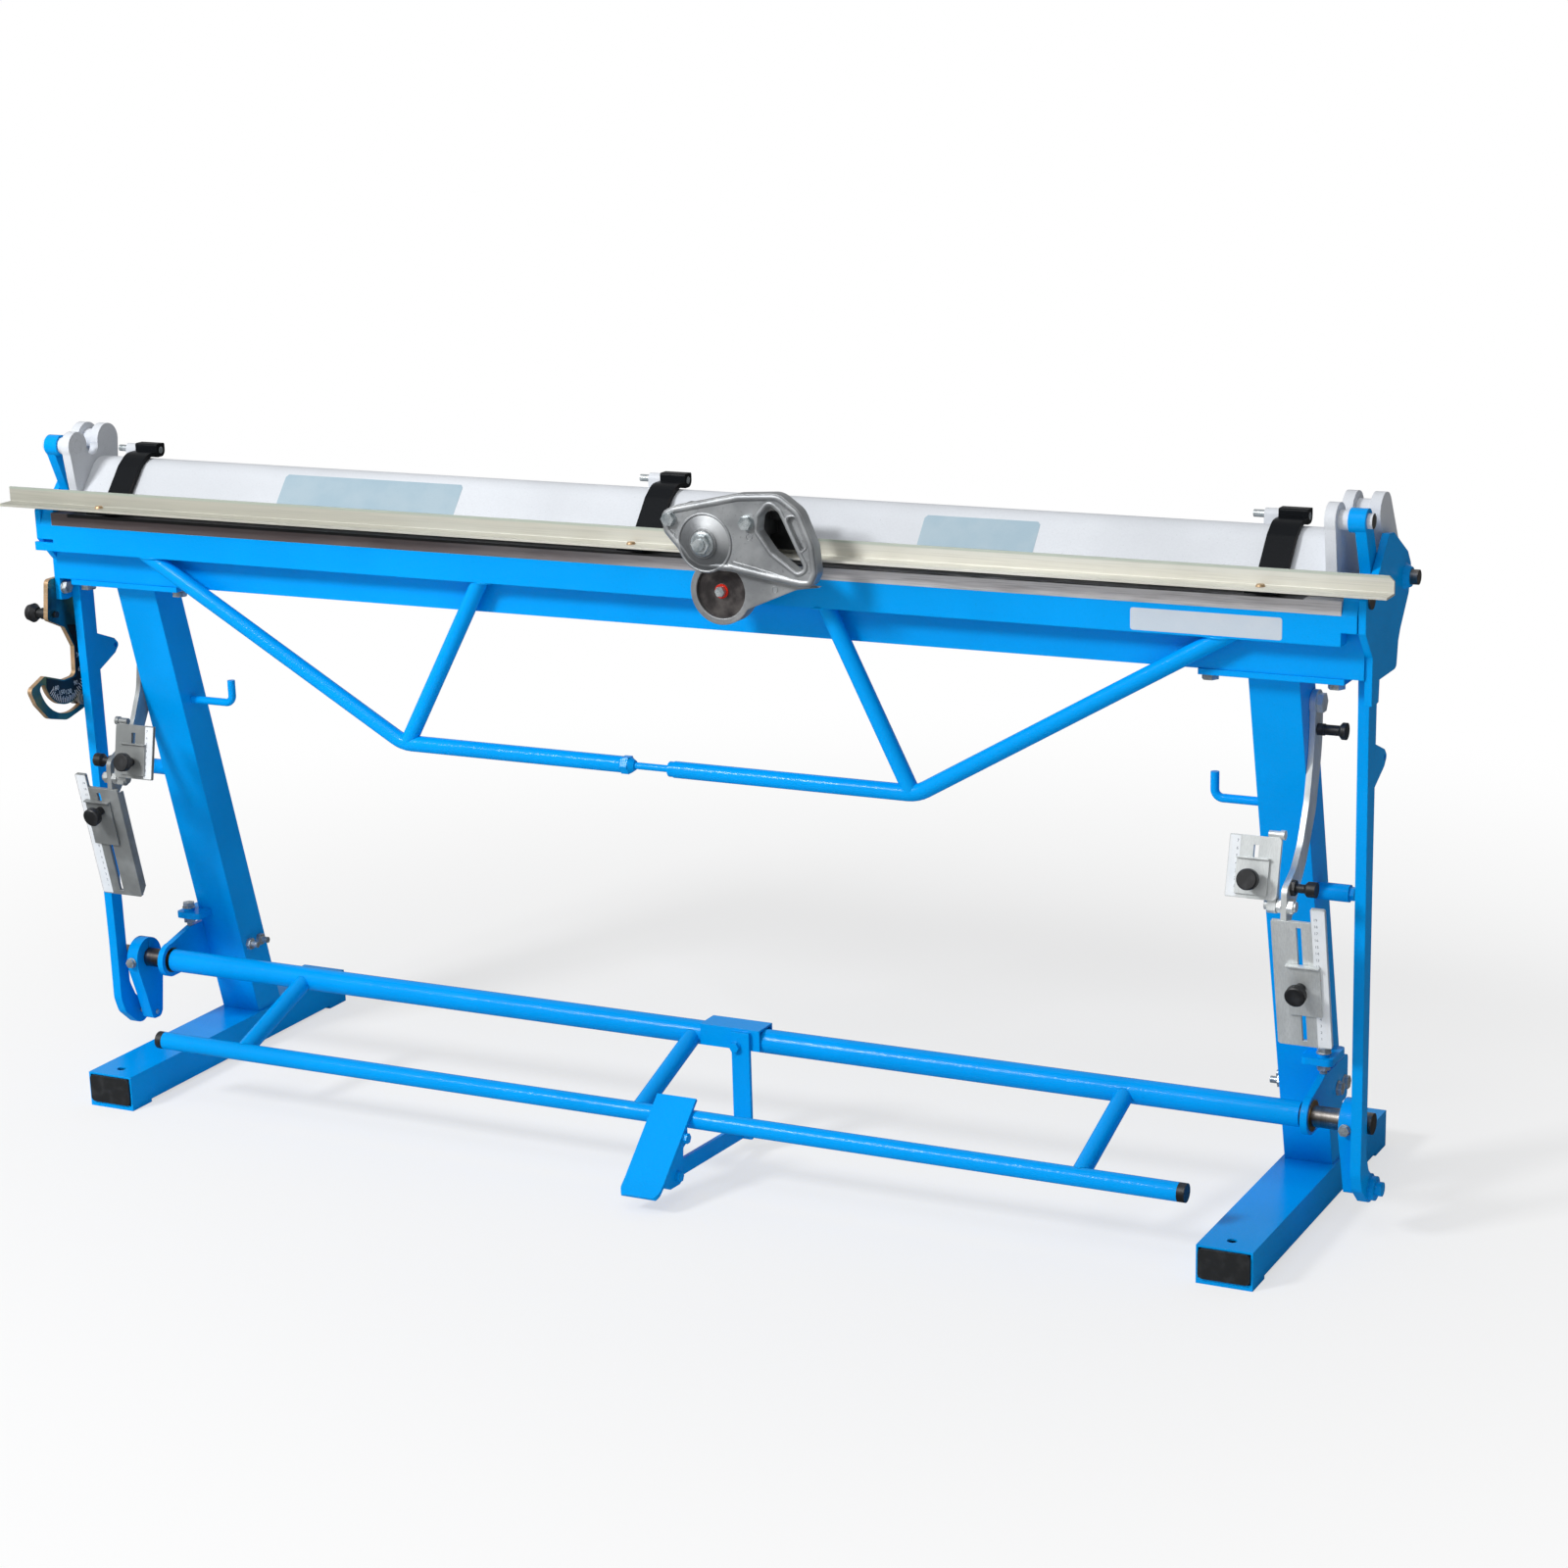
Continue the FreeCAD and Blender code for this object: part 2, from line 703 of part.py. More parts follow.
def upper_beam():
    """Clamping beam: tube, sloping front plate, blade, end plates and arm bosses."""
    outer = rod("x", tube_y, tube_z, beam_tube_r, -end_in, end_in)
    bore = rod("x", tube_y, tube_z, beam_tube_r - beam_tube_wall, -end_in - 1, end_in + 1)
    save("upper_beam_tube", [outer.cut(bore)])
    low = sheet_z + sheet_clear + blade_t
    top = tube_z + beam_tube_r * nose_cos
    thick = nose_plate_t / nose_sin
    slope = [(nose_y(low), low), (nose_y(top), top), (nose_y(top) + thick, top),
             (nose_y(low) + thick, low)]
    floor = [(nose_y(low), low), (nose_y(low + 6), low + 6), (tube_y - 14, low + 6),
             (tube_y - 14, low)]
    front = joined(prism("x", slope, -end_in, end_in), prism("x", floor, -end_in, end_in))
    front = front.cut(outer)
    save("upper_front_plate", [max(front.Solids, key=lambda s: s.Volume)])
    edge = hinge_y + 0.6
    high = low - blade_t
    blade = prism("x", [(edge, high), (edge + blade_depth, high), (edge + blade_depth, low),
                        (edge + blade_t / nose_tan, low)], -work_half, work_half)
    save("clamping_blade", [blade])
    boss_pieces = []
    for x in arm_xs:
        x1 = x - arm_block_l / 2 - gap
        x0 = x1 - arm_boss_l
        eye = rod("x", arm_axis_y, arm_axis_z, arm_boss_r, x0, x1)
        neck = box(x0, x1, arm_axis_y - 8, arm_axis_y + 8, tube_z + 20, arm_axis_z)
        boss = joined(eye, neck).cut(rod("x", tube_y, tube_z, beam_tube_r, x0 - 1, x1 + 1))
        boss = max(boss.Solids, key=lambda s: s.Volume)
        pin0 = x0 - arm_pin_out
        boss = boss.cut(rod("x", arm_axis_y, arm_axis_z, arm_pin_r, x0 - 1, x1 + 1))
        pin = rod("x", arm_axis_y, arm_axis_z, arm_pin_r, pin0, x + arm_block_l / 2)
        boss_pieces.extend([boss, pin])
    save("arm_hinge_bosses", boss_pieces)


def end_plates():
    """Heart-shaped inner plates, outer pivot plates, link pins and spacers."""
    inner_out = end_in + end_plate_t
    low = sheet_z + sheet_clear + blade_t
    heart = [(pin_y - front_lobe_r + 1, pin_z), (pin_y - 10, sheet_z + 30, 4),
             (pin_y - 7, sheet_z + 23), (pin_y + 30, low + gap, 10),
             (tube_y + 30, low + gap, 12), (tube_y + beam_tube_r, tube_z, 10),
             (rear_lobe_y + rear_lobe_r, pin_z), (pin_y, pin_z)]
    plate = joined(prism("x", heart, end_in, inner_out),
                   rod("x", pin_y, pin_z, front_lobe_r, end_in, inner_out),
                   rod("x", rear_lobe_y, pin_z, rear_lobe_r, end_in, inner_out))
    notch_y = pin_y + 35
    notch = joined(rod("x", notch_y, pin_z - 4, 14, end_in - 1, inner_out + 1),
                   prism("x", [(notch_y - 9, pin_z), (notch_y + 8, pin_z),
                               (notch_y + 3, pin_z + 40), (notch_y - 4, pin_z + 40)],
                         end_in - 1, inner_out + 1))
    plate = plate.cut(notch)
    plate = plate.cut(rod("x", pin_y, pin_z, link_pin_r, end_in - 1, inner_out + 1))
    save("inner_end_plates", pair(plate))
    x1 = link_x + link_t
    over = Vector(pivot_y - rear_lobe_y, pivot_z - pin_z, 0)
    side = Vector(-over.y, over.x, 0).normalize() * rear_lobe_r
    web = [(rear_lobe_y + side.x, pin_z + side.y), (pivot_y + side.x, pivot_z + side.y),
           (pivot_y - side.x, pivot_z - side.y), (rear_lobe_y - side.x, pin_z - side.y)]
    outer = joined(prism("x", web, link_x, x1),
                   rod("x", rear_lobe_y, pin_z, rear_lobe_r, link_x, x1),
                   rod("x", pivot_y, pivot_z, rear_lobe_r, link_x, x1))
    outer = outer.cut(rod("x", pivot_y, pivot_z, pivot_pin_r + run_clear, link_x - 1, x1 + 1))
    save("outer_end_plates", pair(outer))
    pin = rod("x", pin_y, pin_z, link_pin_r, end_in, x1 + link_pin_out)
    front_spacer = rod("x", pin_y, pin_z, spacer_r, inner_out, link_x - link_boss_in - gap)
    front_spacer = front_spacer.cut(rod("x", pin_y, pin_z, link_pin_r, inner_out - 1, link_x))
    rear_spacer = rod("x", rear_lobe_y, pin_z, spacer_r + 2, inner_out, link_x)
    save("link_pins_and_spacers", pair(pin) + pair(front_spacer) + pair(rear_spacer))


def link():
    """Pull link from the crank to the upper beam, hooked forward round the shaft."""
    y = torsion_y
    z = torsion_z
    foot_y = crank_pin_y
    foot_z = crank_pin_z
    outline = [(pin_y - link_boss_r + 1, pin_z), (pin_y + 14, pin_z - 69, 30),
               (y - 54, z + 588, 200), (y - 41, z + 33, 60), (y - 41, foot_z + 33, 30),
               (y - 32, foot_z + 8, 20), (foot_y - 11, foot_z - link_foot_r + 2, 14),
               (foot_y, foot_z - link_foot_r), (foot_y, foot_z + link_foot_r),
               (y - 4, foot_z + 30, 14), (y - 16, foot_z + 55, 20),
               (y - 17, z + 28, 40), (y - 21, z + 476), (y + 20, z + 495, 6),
               (y + 31, z + 507, 6), (y + 20, z + 518, 6), (y - 21, z + 534),
               (y - 21, z + 598, 200), (pin_y + 47, pin_z - 69, 30), (pin_y + link_boss_r - 1, pin_z)]
    x1 = link_x + link_t
    bar = joined(prism("x", outline, link_x, x1),
                 rod("x", pin_y, pin_z, link_boss_r, link_x - link_boss_in, x1),
                 rod("x", foot_y, foot_z, link_foot_r, link_x, x1),
                 rod("x", foot_y, foot_z, link_foot_r - 3, x1, x1 + link_foot_boss))
    bar = bar.cut(rod("x", pin_y, pin_z, link_pin_r + run_clear, link_x - link_boss_in - 1, x1 + 1))
    bar = bar.cut(rod("x", y + 22, z + 507, 4, link_x - 1, x1 + 1))
    bar = bar.cut(rod("x", foot_y, foot_z, link_pin_r, link_x - 1, x1 + link_foot_boss + 1))
    pin = rod("x", foot_y, foot_z, link_pin_r, link_x, x1 + link_foot_boss + link_pin_end)
    save("right_link", [bar, pin])
    save("left_link", [mirrored(bar), mirrored(pin)])


def torsion():
    """Torsion shaft with its cranks."""
    end = leg_out - 5
    tube = rod("x", torsion_y, torsion_z, torsion_r, -end, end)
    tube = tube.cut(rod("x", torsion_y, torsion_z, shaft_r, -end - 1, end + 1))
    stub = rod("x", torsion_y, torsion_z, shaft_r, end - shaft_plug_l, link_x + link_t + shaft_out)
    save("torsion_tube", [tube] + pair(stub))
    y = torsion_y
    z = torsion_z
    outline = [(y - crank_hub_r + 0.5, z + 4), (y - crank_hub_r + 1, z - 14, 40), (y - 16, z - 58, 60),
               (crank_pin_y - 10, crank_pin_z - 9, 6), (crank_pin_y + 9, crank_pin_z - 10, 10),
               (crank_pin_y + 15, crank_pin_z - 1, 12), (y + crank_hub_r - 1, z - 39, 60),
               (y + crank_hub_r - 0.5, z + 4)]
    cranks = []
    for side, crank_gap in crank_gaps.items():
        x1 = link_x - crank_gap
        x0 = x1 - crank_t
        crank = joined(prism("x", outline, x0, x1), rod("x", y, z, crank_hub_r, x0, x1))
        crank = crank.cut(rod("x", y, z, shaft_r, x0 - 1, x1 + 1))
        crank = crank.cut(rod("x", crank_pin_y, crank_pin_z, crank_hole_r, x0 - 1, x1 + 1))
        stub = rod("x", crank_pin_y, crank_pin_z, crank_hole_r, x0 - 1, link_x - open_clear)
        crank = crank.cut(box(x0 - 1, x1 + 1, y - crank_split / 2, y + crank_split / 2,
                              z, z + crank_hub_r + 1))
        x = (x0 + x1) / 2
        front = y - crank_hub_r - 1
        screw = bolt("y", x, z - 2, 4.0, 5, front, y - shaft_r - gap)
        crank = crank.cut(rod("y", x, z - 2, 4.0, front - 3, y - shaft_r + 1))
        crank = crank.cut(box(x - 9, x + 9, front - 9, front, z - 11, z + 7))
        pieces = [crank, screw, stub]
        if side == "left":
            pieces = [mirrored(s) for s in pieces]
        cranks.extend(pieces)
    save("cranks", cranks)


def foot_bar():
    """Foot bar across the front with its arms to the torsion tube."""
    bar = rod("x", bar_y, bar_z, bar_r, -bar_half, bar_half)
    bar = bar.cut(rod("x", bar_y, bar_z, bar_r - 2.6, -bar_half - 1, bar_half + 1))
    plug = rod("x", bar_y, bar_z, bar_r - 2.6 - gap, bar_half - 14, bar_half)
    cap = joined(rod("x", bar_y, bar_z, bar_r, bar_half, bar_half + bar_cap_t), plug)
    save("foot_bar", [bar] + pair(cap))
    keep_bar = rod("x", bar_y, bar_z, bar_r, -bar_half, bar_half)
    keep_tube = rod("x", torsion_y, torsion_z, torsion_r, -bar_half, bar_half)
    arms = []
    for x in (-bar_arm_x, bar_arm_mid, bar_arm_x):
        start = Vector(x, torsion_y, torsion_z)
        way = Vector(0, bar_y - torsion_y, bar_z - torsion_z)
        arm = Part.makeCylinder(bar_arm_r, way.Length, start, way)
        arm = arm.cut(keep_bar).cut(keep_tube)
        arms.append(max(arm.Solids, key=lambda s: s.Volume))
    save("foot_bar_arms", arms)


def pedal():
    """Saddle on the torsion tube, hanger, strut, side plate and the pedal plate."""
    x0 = saddle_x - saddle_l / 2
    x1 = saddle_x + saddle_l / 2
    inner = torsion_r + gap
    outer = inner + saddle_t
    y0 = torsion_y - outer
    low = torsion_z - 11
    top = torsion_z + outer
    saddle = box(x0, x1, y0, torsion_y + outer, low, top)
    saddle = saddle.cut(box(x0 - 1, x1 + 1, torsion_y - inner, torsion_y + inner,
                            low - 1, torsion_z + inner))
    bar_x = x1 - 14.5 - hanger_w
    hanger = box(bar_x, bar_x + hanger_w, y0 - hanger_t, y0, strut_low, top - 4)
    screw_x = bar_x + 7
    screw_z = torsion_z - 5
    screw = bolt("y", screw_x, screw_z, 4.0, 5, y0 - hanger_t, y0 + saddle_t)
    hanger = hanger.cut(rod("y", screw_x, screw_z, 4.0, y0 - 20, y0 + 1))
    saddle = saddle.cut(rod("y", screw_x, screw_z, 4.0, y0 - 1, y0 + 5))
    plate_in = pedal_x - hanger_t
    strut_in = plate_in - hanger_t
    root = y0 - hanger_t
    strut = prism("x", [(root, strut_low + 24), (root, strut_low), (bar_y - 70, strut_low + 11.3, 4),
                        (bar_y - 70, strut_low + 35.5, 4)], strut_in, plate_in)
    cheek = prism("x", [(bar_y - 24, bar_z - 3.2), (bar_y - 24, bar_z - 24, 4),
                        (bar_y - 38, bar_z - 30, 4), (bar_y - 41, bar_z - 64.5, 4),
                        (bar_y - 50, bar_z - 80.5, 4), (bar_y - 80, bar_z - 79, 8),
                        (bar_y - 99, bar_z - 70.2)], plate_in, pedal_x)
    places = ((bar_y - 33, bar_z - 17), (bar_y - 58, bar_z - 66.5))
    screws = []
    for y, z in places:
        hole = rod("x", y, z, 4.0, strut_in - 1, pedal_x + 1)
        cheek = cheek.cut(hole)
        strut = strut.cut(hole)
        screws.append(bolt("x", y, z, 4.0, 5, pedal_x, strut_in - 5))
    save("pedal_bracket", [saddle, hanger, strut, cheek, screw] + screws)
    under = bar_r + gap
    over = under + pedal_t
    slope = [(pedal_up, under), (pedal_up, over), (pedal_fold, over), (pedal_toe, over + pedal_lip),
             (pedal_toe, under + pedal_lip), (pedal_fold, under)]
    turn = math.radians(pedal_slope)
    slope = [(bar_y + s * math.cos(turn) - h * math.sin(turn),
              bar_z + s * math.sin(turn) + h * math.cos(turn)) for s, h in slope]
    left = pedal_x - pedal_w
    toe_y = min(y for y, z in slope)
    plate = prism("x", slope, left, pedal_x)
    plate = plate.common(prism("z", [(left, bar_y + 80), (left, toe_y, 13),
                                     (pedal_x, toe_y, 13), (pedal_x, bar_y + 80)], 0, 300))
    save("pedal_plate", [plate])


def swing_rail():
    """Shear rail on three swing arms hinged behind the clamping tube."""
    blocks = []
    arms = []
    screws = []
    foot_y = rail_back - 20
    y0 = arm_axis_y - arm_block_s / 2
    y1 = arm_axis_y + arm_block_s / 2
    z0 = arm_axis_z - arm_block_s / 2
    z1 = arm_axis_z + arm_block_s / 2
    top = rail_z
    over = arm_over / nose_sin
    skin = arm_t / nose_sin
    lap = arm_over + beam_tube_r
    for x in arm_xs:
        half = arm_block_l / 2
        block = prism("x", [(y0, z0, 1.5), (y1, z0, arm_block_round), (y1, z1, 3), (y0, z1, 3)],
                      x - half, x + half)
        block = block.cut(rod("x", arm_axis_y, arm_axis_z, arm_pin_r + run_clear,
                              x - half - 1, x + half + 1))
        blocks.append(block)
        sides = (x - arm_w / 2, x + arm_w / 2)
        bend_z = tube_z + lap * nose_cos
        bend_y = tube_y - lap * nose_sin
        cap_z = tube_z + beam_tube_r + arm_over
        low = [(y0, cap_z), (tube_y - 8, cap_z, 30), (bend_y, bend_z),
               (nose_y(top) - over, top), (foot_y, top), (foot_y, top - arm_t, 1),
               (nose_y(top - arm_t) - over - skin, top - arm_t), ]
        upper = [(y0, cap_z), (y0, cap_z + arm_t), (tube_y - 12, cap_z + arm_t, 30),
                 (bend_y - arm_t * nose_sin, bend_z + arm_t * nose_cos),
                 (nose_y(top) - over - skin, top), (foot_y, top), (foot_y, top - arm_t),
                 (nose_y(top - arm_t) - over, top - arm_t), (bend_y, bend_z),
                 (tube_y - 8, cap_z, 26)]
        arm = prism("x", upper, *sides)
        hole = rod("z", x, rail_back - 14, 3.0, top - 10, top + 10)
        arms.append(arm.cut(hole))
        head = cone("z", x, rail_back - 14, 6.5, 5.0, top + rail_t, top + rail_t + 3)
        screws.append(joined(head, rod("z", x, rail_back - 14, 3.0, top - arm_t, top + rail_t)))
    save("arm_hinge_blocks", blocks)
    save("rail_arms", arms)
    profile = [(rail_front, rail_z), (rail_back, rail_z, 1), (rail_back, rail_z + rail_h),
               (rail_back - rail_t, rail_z + rail_h), (rail_back - rail_t, rail_z + rail_t, 1),
               (rail_front, rail_z + rail_t)]
    rail = prism("x", profile, -rail_half, rail_half)
    for x in arm_xs:
        rail = rail.cut(rod("z", x, rail_back - 14, 3.0, rail_z - 1, rail_z + rail_t + 1))
    bevel = [(rail_half - 8, rail_z + rail_h + 1), (rail_half + 1, rail_z + rail_h + 1),
             (rail_half + 1, rail_z + rail_h - 8)]
    rail = rail.cut(prism("y", bevel, rail_front - 1, rail_back + 1))
    save("shear_rail", [rail])
    save("rail_screws", screws)


def carriage():
    """Roller shear carriage: casting, cutter housing, guides, bolts and cutters."""
    x = carriage_x
    z = sheet_z
    hub_x = x + upper_cutter_dx
    hub_z = z + upper_cutter_dz
    low_z = z + lower_cutter_dz
    low_x = x + lower_cutter_dx
    casting = prism("y", [(x - 84, z + 76, 14), (x - 80, z + 48, 10), (x - 44, z + 10, 16),
                          (x - 26, z + 1, 10), (x + 20, z, 4), (x + 124, z - 15, 8),
                          (x + 142, z - 14, 12), (x + 151, z + 4, 14), (x + 147, z + 42, 30),
                          (x + 127, z + 88, 30), (x + 95, z + 110, 30), (x + 34, z + 106, 40),
                          (x - 66, z + 84, 12)], casting_front, casting_back)
    dome = cone("y", hub_x, hub_z, 20, upper_cutter_r, casting_front - 5, casting_front)
    collar = rod("y", hub_x, hub_z, 20, casting_front - 7, casting_front - 5)
    casting = joined(casting, dome, collar)
    window = prism("y", [(x + 66, z + 77, 8), (x + 81, z + 95, 8), (x + 95, z + 84, 8),
                         (x + 132, z + 10, 6), (x + 121, z + 5, 6), (x + 84, z + 30, 20),
                         (x + 63, z + 58, 8)], casting_front - 1, casting_back + 1)
    groove = prism("y", [(x + 106, z + 78, 6), (x + 119, z + 80, 6), (x + 135, z + 40, 6),
                         (x + 125, z + 32, 6)], casting_front - 1, casting_front + 6)
    casting = casting.cut(window).cut(groove)
    casting = casting.cut(rod("y", hub_x, hub_z, cutter_shaft_r + run_clear,
                              casting_front - 20, casting_back + 1))
    places = ((x - 71, z + 67), (x + 47, z + 68))
    for bx, bz in places:
        casting = casting.cut(rod("y", bx, bz, 5.0, casting_front - 1, casting_back + 1))
    save("carriage_casting", [casting])

    blade_y = rail_front - 14
    wheel_front = blade_y - gap - cutter_t
    back = blade_y + 14
    rim = rod("y", low_x, low_z, cutter_housing_r, wheel_front - 4, back)
    web = prism("y", [(low_x - 10, low_z - cutter_housing_r + 1), (x + 60, low_z - 12, 20),
                      (x + 112, z - 22, 20), (x + 145, z - 17), (x + 124, z - 15.4),
                      (x + 20, z - gap), (low_x, low_z)], wheel_front - 4, back)
    housing = joined(rim, web)
    housing = housing.cut(rod("y", low_x, low_z, lower_cutter_r + 0.8, wheel_front - 5, blade_y))
    slant = prism("y", [(x - 60, z - 7), (x + 20, z - 7), (x + 128, z - 22), (x + 200, z - 22),
                        (x + 200, z + 40), (x - 60, z + 40)], casting_back + 7, back + 1)
    ceiling = prism("y", [(x - 60, z - 7), (x + 20, z - gap), (x + 124, z - 15 - gap),
                          (x + 200, z - 15 - gap), (x + 200, z + 40), (x - 60, z + 40)],
                    wheel_front - 5, back + 1)
    housing = housing.cut(slant).cut(ceiling)
    housing = housing.cut(rod("y", low_x, low_z, 6 + run_clear, blade_y - 1, back + 1))
    save("cutter_housing", [max(housing.Solids, key=lambda s: s.Volume)])

    c = guide_clear
    y_rail = rail_back - rail_t
    saddle_z = rail_z + rail_h + c
    top = z + 78
    left = [(casting_back, top, 4), (rail_back + 8, top, 4), (rail_back + 8, saddle_z - 16),
            (rail_back + c, saddle_z - 16), (rail_back + c, saddle_z), (y_rail - c, saddle_z),
            (y_rail - c, saddle_z - 16), (y_rail - 9, saddle_z - 16), (y_rail - 9, z + 46),
            (casting_back, z + 46)]
    right = left[:8] + [(y_rail - 9, z + 46), (rail_front - c, z + 46),
                        (rail_front - c, rail_z - c), (rail_front + 9, rail_z - c),
                        (rail_front + 9, z + 6.5), (casting_back, z + 6.5)]
    first = prism("x", left, x - 78, x - 60)
    second = prism("x", right, x + 38, x + 62)
    finger = [(rail_front + 4, top)] + left[1:8] + [(y_rail - 9, top - 12),
                                                    (rail_front + 4, top - 12)]
    second = joined(second, prism("x", finger, x + 62, x + 92))
    guides = []
    for piece in (first, second):
        for bx, bz in places:
            piece = piece.cut(rod("y", bx, bz, 5.0, casting_back - 1, casting_back + 22))
        guides.append(piece)
    save("carriage_guides", guides)
    bolts = [bolt("y", bx, bz, 5.0, 7, casting_front, casting_back + 20) for bx, bz in places]
    save("carriage_bolts", bolts)

    upper = rod("y", hub_x, hub_z, upper_cutter_r, blade_y, blade_y + cutter_t)
    shaft = rod("y", hub_x, hub_z, cutter_shaft_r, casting_front - 19, blade_y + cutter_t + 2)
    nut = hexagon("y", hub_x, hub_z, 24, casting_front - 16, casting_front - 7 - gap)
    save("upper_cutter", [joined(upper, shaft, nut)])
    lower = rod("y", low_x, low_z, lower_cutter_r, wheel_front, wheel_front + cutter_t)
    lower = joined(lower, rod("y", low_x, low_z, 6, wheel_front - 8, back - 2),
                   rod("y", low_x, low_z, 10, wheel_front - 1.5, wheel_front),
                   hexagon("y", low_x, low_z, 13, wheel_front - 8, wheel_front - 1.5))
    save("lower_cutter", [lower])


def angle_stop():
    """Angle plate with its curved slot, stop pin and index knob."""
    y = angle_centre_y
    z = angle_centre_z
    x1 = -side_out
    x0 = x1 - angle_plate_t
    outline = [(y - 22, z + 147, 8), (y - 31, z + 85, 6), (y + 8, z + 67, 4), (y + 27, z + 33, 4),
               (y + 24, z - 13, 10), (y - 5, z - 14, 6), (y - 50, z + 1, 6), (y - 88, z - 14, 8),
               (y - 75, z - 40, 20), (y - 49, z - 67, 20), (y - 6, z - 78, 30),
               (y + 47, z - 66, 30), (y + 70, z - 20, 30), (y + 68, z + 40, 30),
               (y + 45, z + 90, 20), (y + 30, z + 147, 8)]
    plate = prism("x", outline, x0, x1)
    low = math.radians(198)
    high = math.radians(303)
    r0 = angle_slot_r - angle_slot_w / 2
    r1 = angle_slot_r + angle_slot_w / 2
    ring = rod("x", y, z, r1, x0 - 1, x1 + 1).cut(rod("x", y, z, r0, x0 - 2, x1 + 2))
    reach = 200.0
    angles = [low, low + (high - low) / 3, low + 2 * (high - low) / 3, high]
    fan = [(y, z)] + [(y + reach * math.cos(t), z + reach * math.sin(t)) for t in angles]
    slot = ring.common(prism("x", fan, x0 - 1, x1 + 1))
    for t in (low, high):
        cy = y + angle_slot_r * math.cos(t)
        cz = z + angle_slot_r * math.sin(t)
        slot = slot.fuse(rod("x", cy, cz, angle_slot_w / 2, x0 - 1, x1 + 1))
    plate = plate.cut(slot)
    sy, sz = side_bolt_place()
    plate = plate.cut(rod("x", sy, sz, side_bolt_r + gap, x0 - 1, x1 + 1))
    knob_y = y - 12
    knob_z = z + 91
    plate = plate.cut(rod("x", knob_y, knob_z, 5 + run_clear, x0 - 1, x1 + 1))
    save("angle_plate", [plate])
    knob = joined(rod("x", knob_y, knob_z, 5, x0 - 12, x1 + 4),
                  rod("x", knob_y, knob_z, 9, x0 - 16, x0 - gap),
                  rod("x", knob_y, knob_z, 7, x0 - 24, x0 - 16),
                  cone("x", knob_y, knob_z, 12, 15, x0 - 42, x0 - 32),
                  cone("x", knob_y, knob_z, 15, 9, x0 - 32, x0 - 24))
    save("index_knob", [knob])
    py = y + angle_slot_r * math.cos(high)
    pz = z + angle_slot_r * math.sin(high)
    pin = joined(rod("x", py, pz, stop_pin_r, x0 - 6, x1 + 7),
                 rod("x", py, pz, 11, x0 - 8, x0 - gap),
                 rod("x", py, pz, 11, x1 + gap, x1 + 5))
    save("stop_pin", [pin])


def hooks_and_posts():
    """Tool hooks inside the legs and spring posts outside them."""
    z = leg_top - hook_drop
    y = leg_front(z) + leg_depth / 2 - 3
    hooks = []
    for side, inner in ((1, leg_in - hook_reach), (-1, leg_in - hook_reach - 5)):
        path = [Vector(side * leg_in, y, z), Vector(side * inner, y, z),
                Vector(side * inner, y, z + hook_h)]
        hooks.append(bent_tube(path, hook_r, 2 * hook_r))
    z = leg_top - post_drop
    y = leg_front(z) + leg_depth / 2 - 9
    end = leg_out + post_l
    post = joined(rod("x", y, z, post_r, leg_out, end), hexagon("x", y, z, 17, end, end + 7))
    save("leg_hooks_and_posts", hooks + pair(post))


def gauge_plates(side):
    """Slotted big plate with its side flange, slotted small plate and its cross screw."""
    t = gauge_plate_t
    slot_x = leg_out + gauge_big_outs[side]
    x0 = slot_x - gauge_big_w / 2
    x1 = slot_x + gauge_big_w / 2
    top = gauge_big_h
    ear = x1 - gauge_ear_w
    big = [(x0, 0, 4), (x1, 0, 4), (x1, top + gauge_ear_h, 3), (ear, top + gauge_ear_h, 2),
           (ear, top, 2), (x0, top, 2)]
    half = gauge_slot_w / 2
    plate = prism("y", big, 0, t)
    plate = plate.cut(box(slot_x - half, slot_x + half, -1, t + 1, 8, top - 8))
    flange = prism("x", [(t - 1, 5), (gauge_flange - 8, 5), (gauge_flange, 13),
                         (gauge_flange, top - 8), (t - 1, top - 8)], x0, x0 + slider_t)
    plate = joined(plate, flange)
    middle = leg_out + gauge_small_outs[side]
    s0 = middle - gauge_small_w / 2
    s1 = middle + gauge_small_w / 2
    small = [(s0, 0, 2), (s1, 0, 7), (s1, gauge_small_h, 5), (s0, gauge_small_h, 2)]
    little = prism("y", small, 0, t)
    little = little.cut(box(middle + 2 - half, middle + 2 + half, -1, t + 1, 8, gauge_small_h - 12))
    corner_z = gauge_small_h + 4
    corner = joined(rod("x", t, corner_z, 5, s1 - 19, s1 - 3),
                    rod("x", t, corner_z, 6.5, s1 - 3, s1 + 3)).cut(little)
    big_spot = gauge_big_spots[side]
    small_spot = gauge_small_spots[side]
    return leaned(plate, big_spot), leaned(little, small_spot), leaned(corner, small_spot)


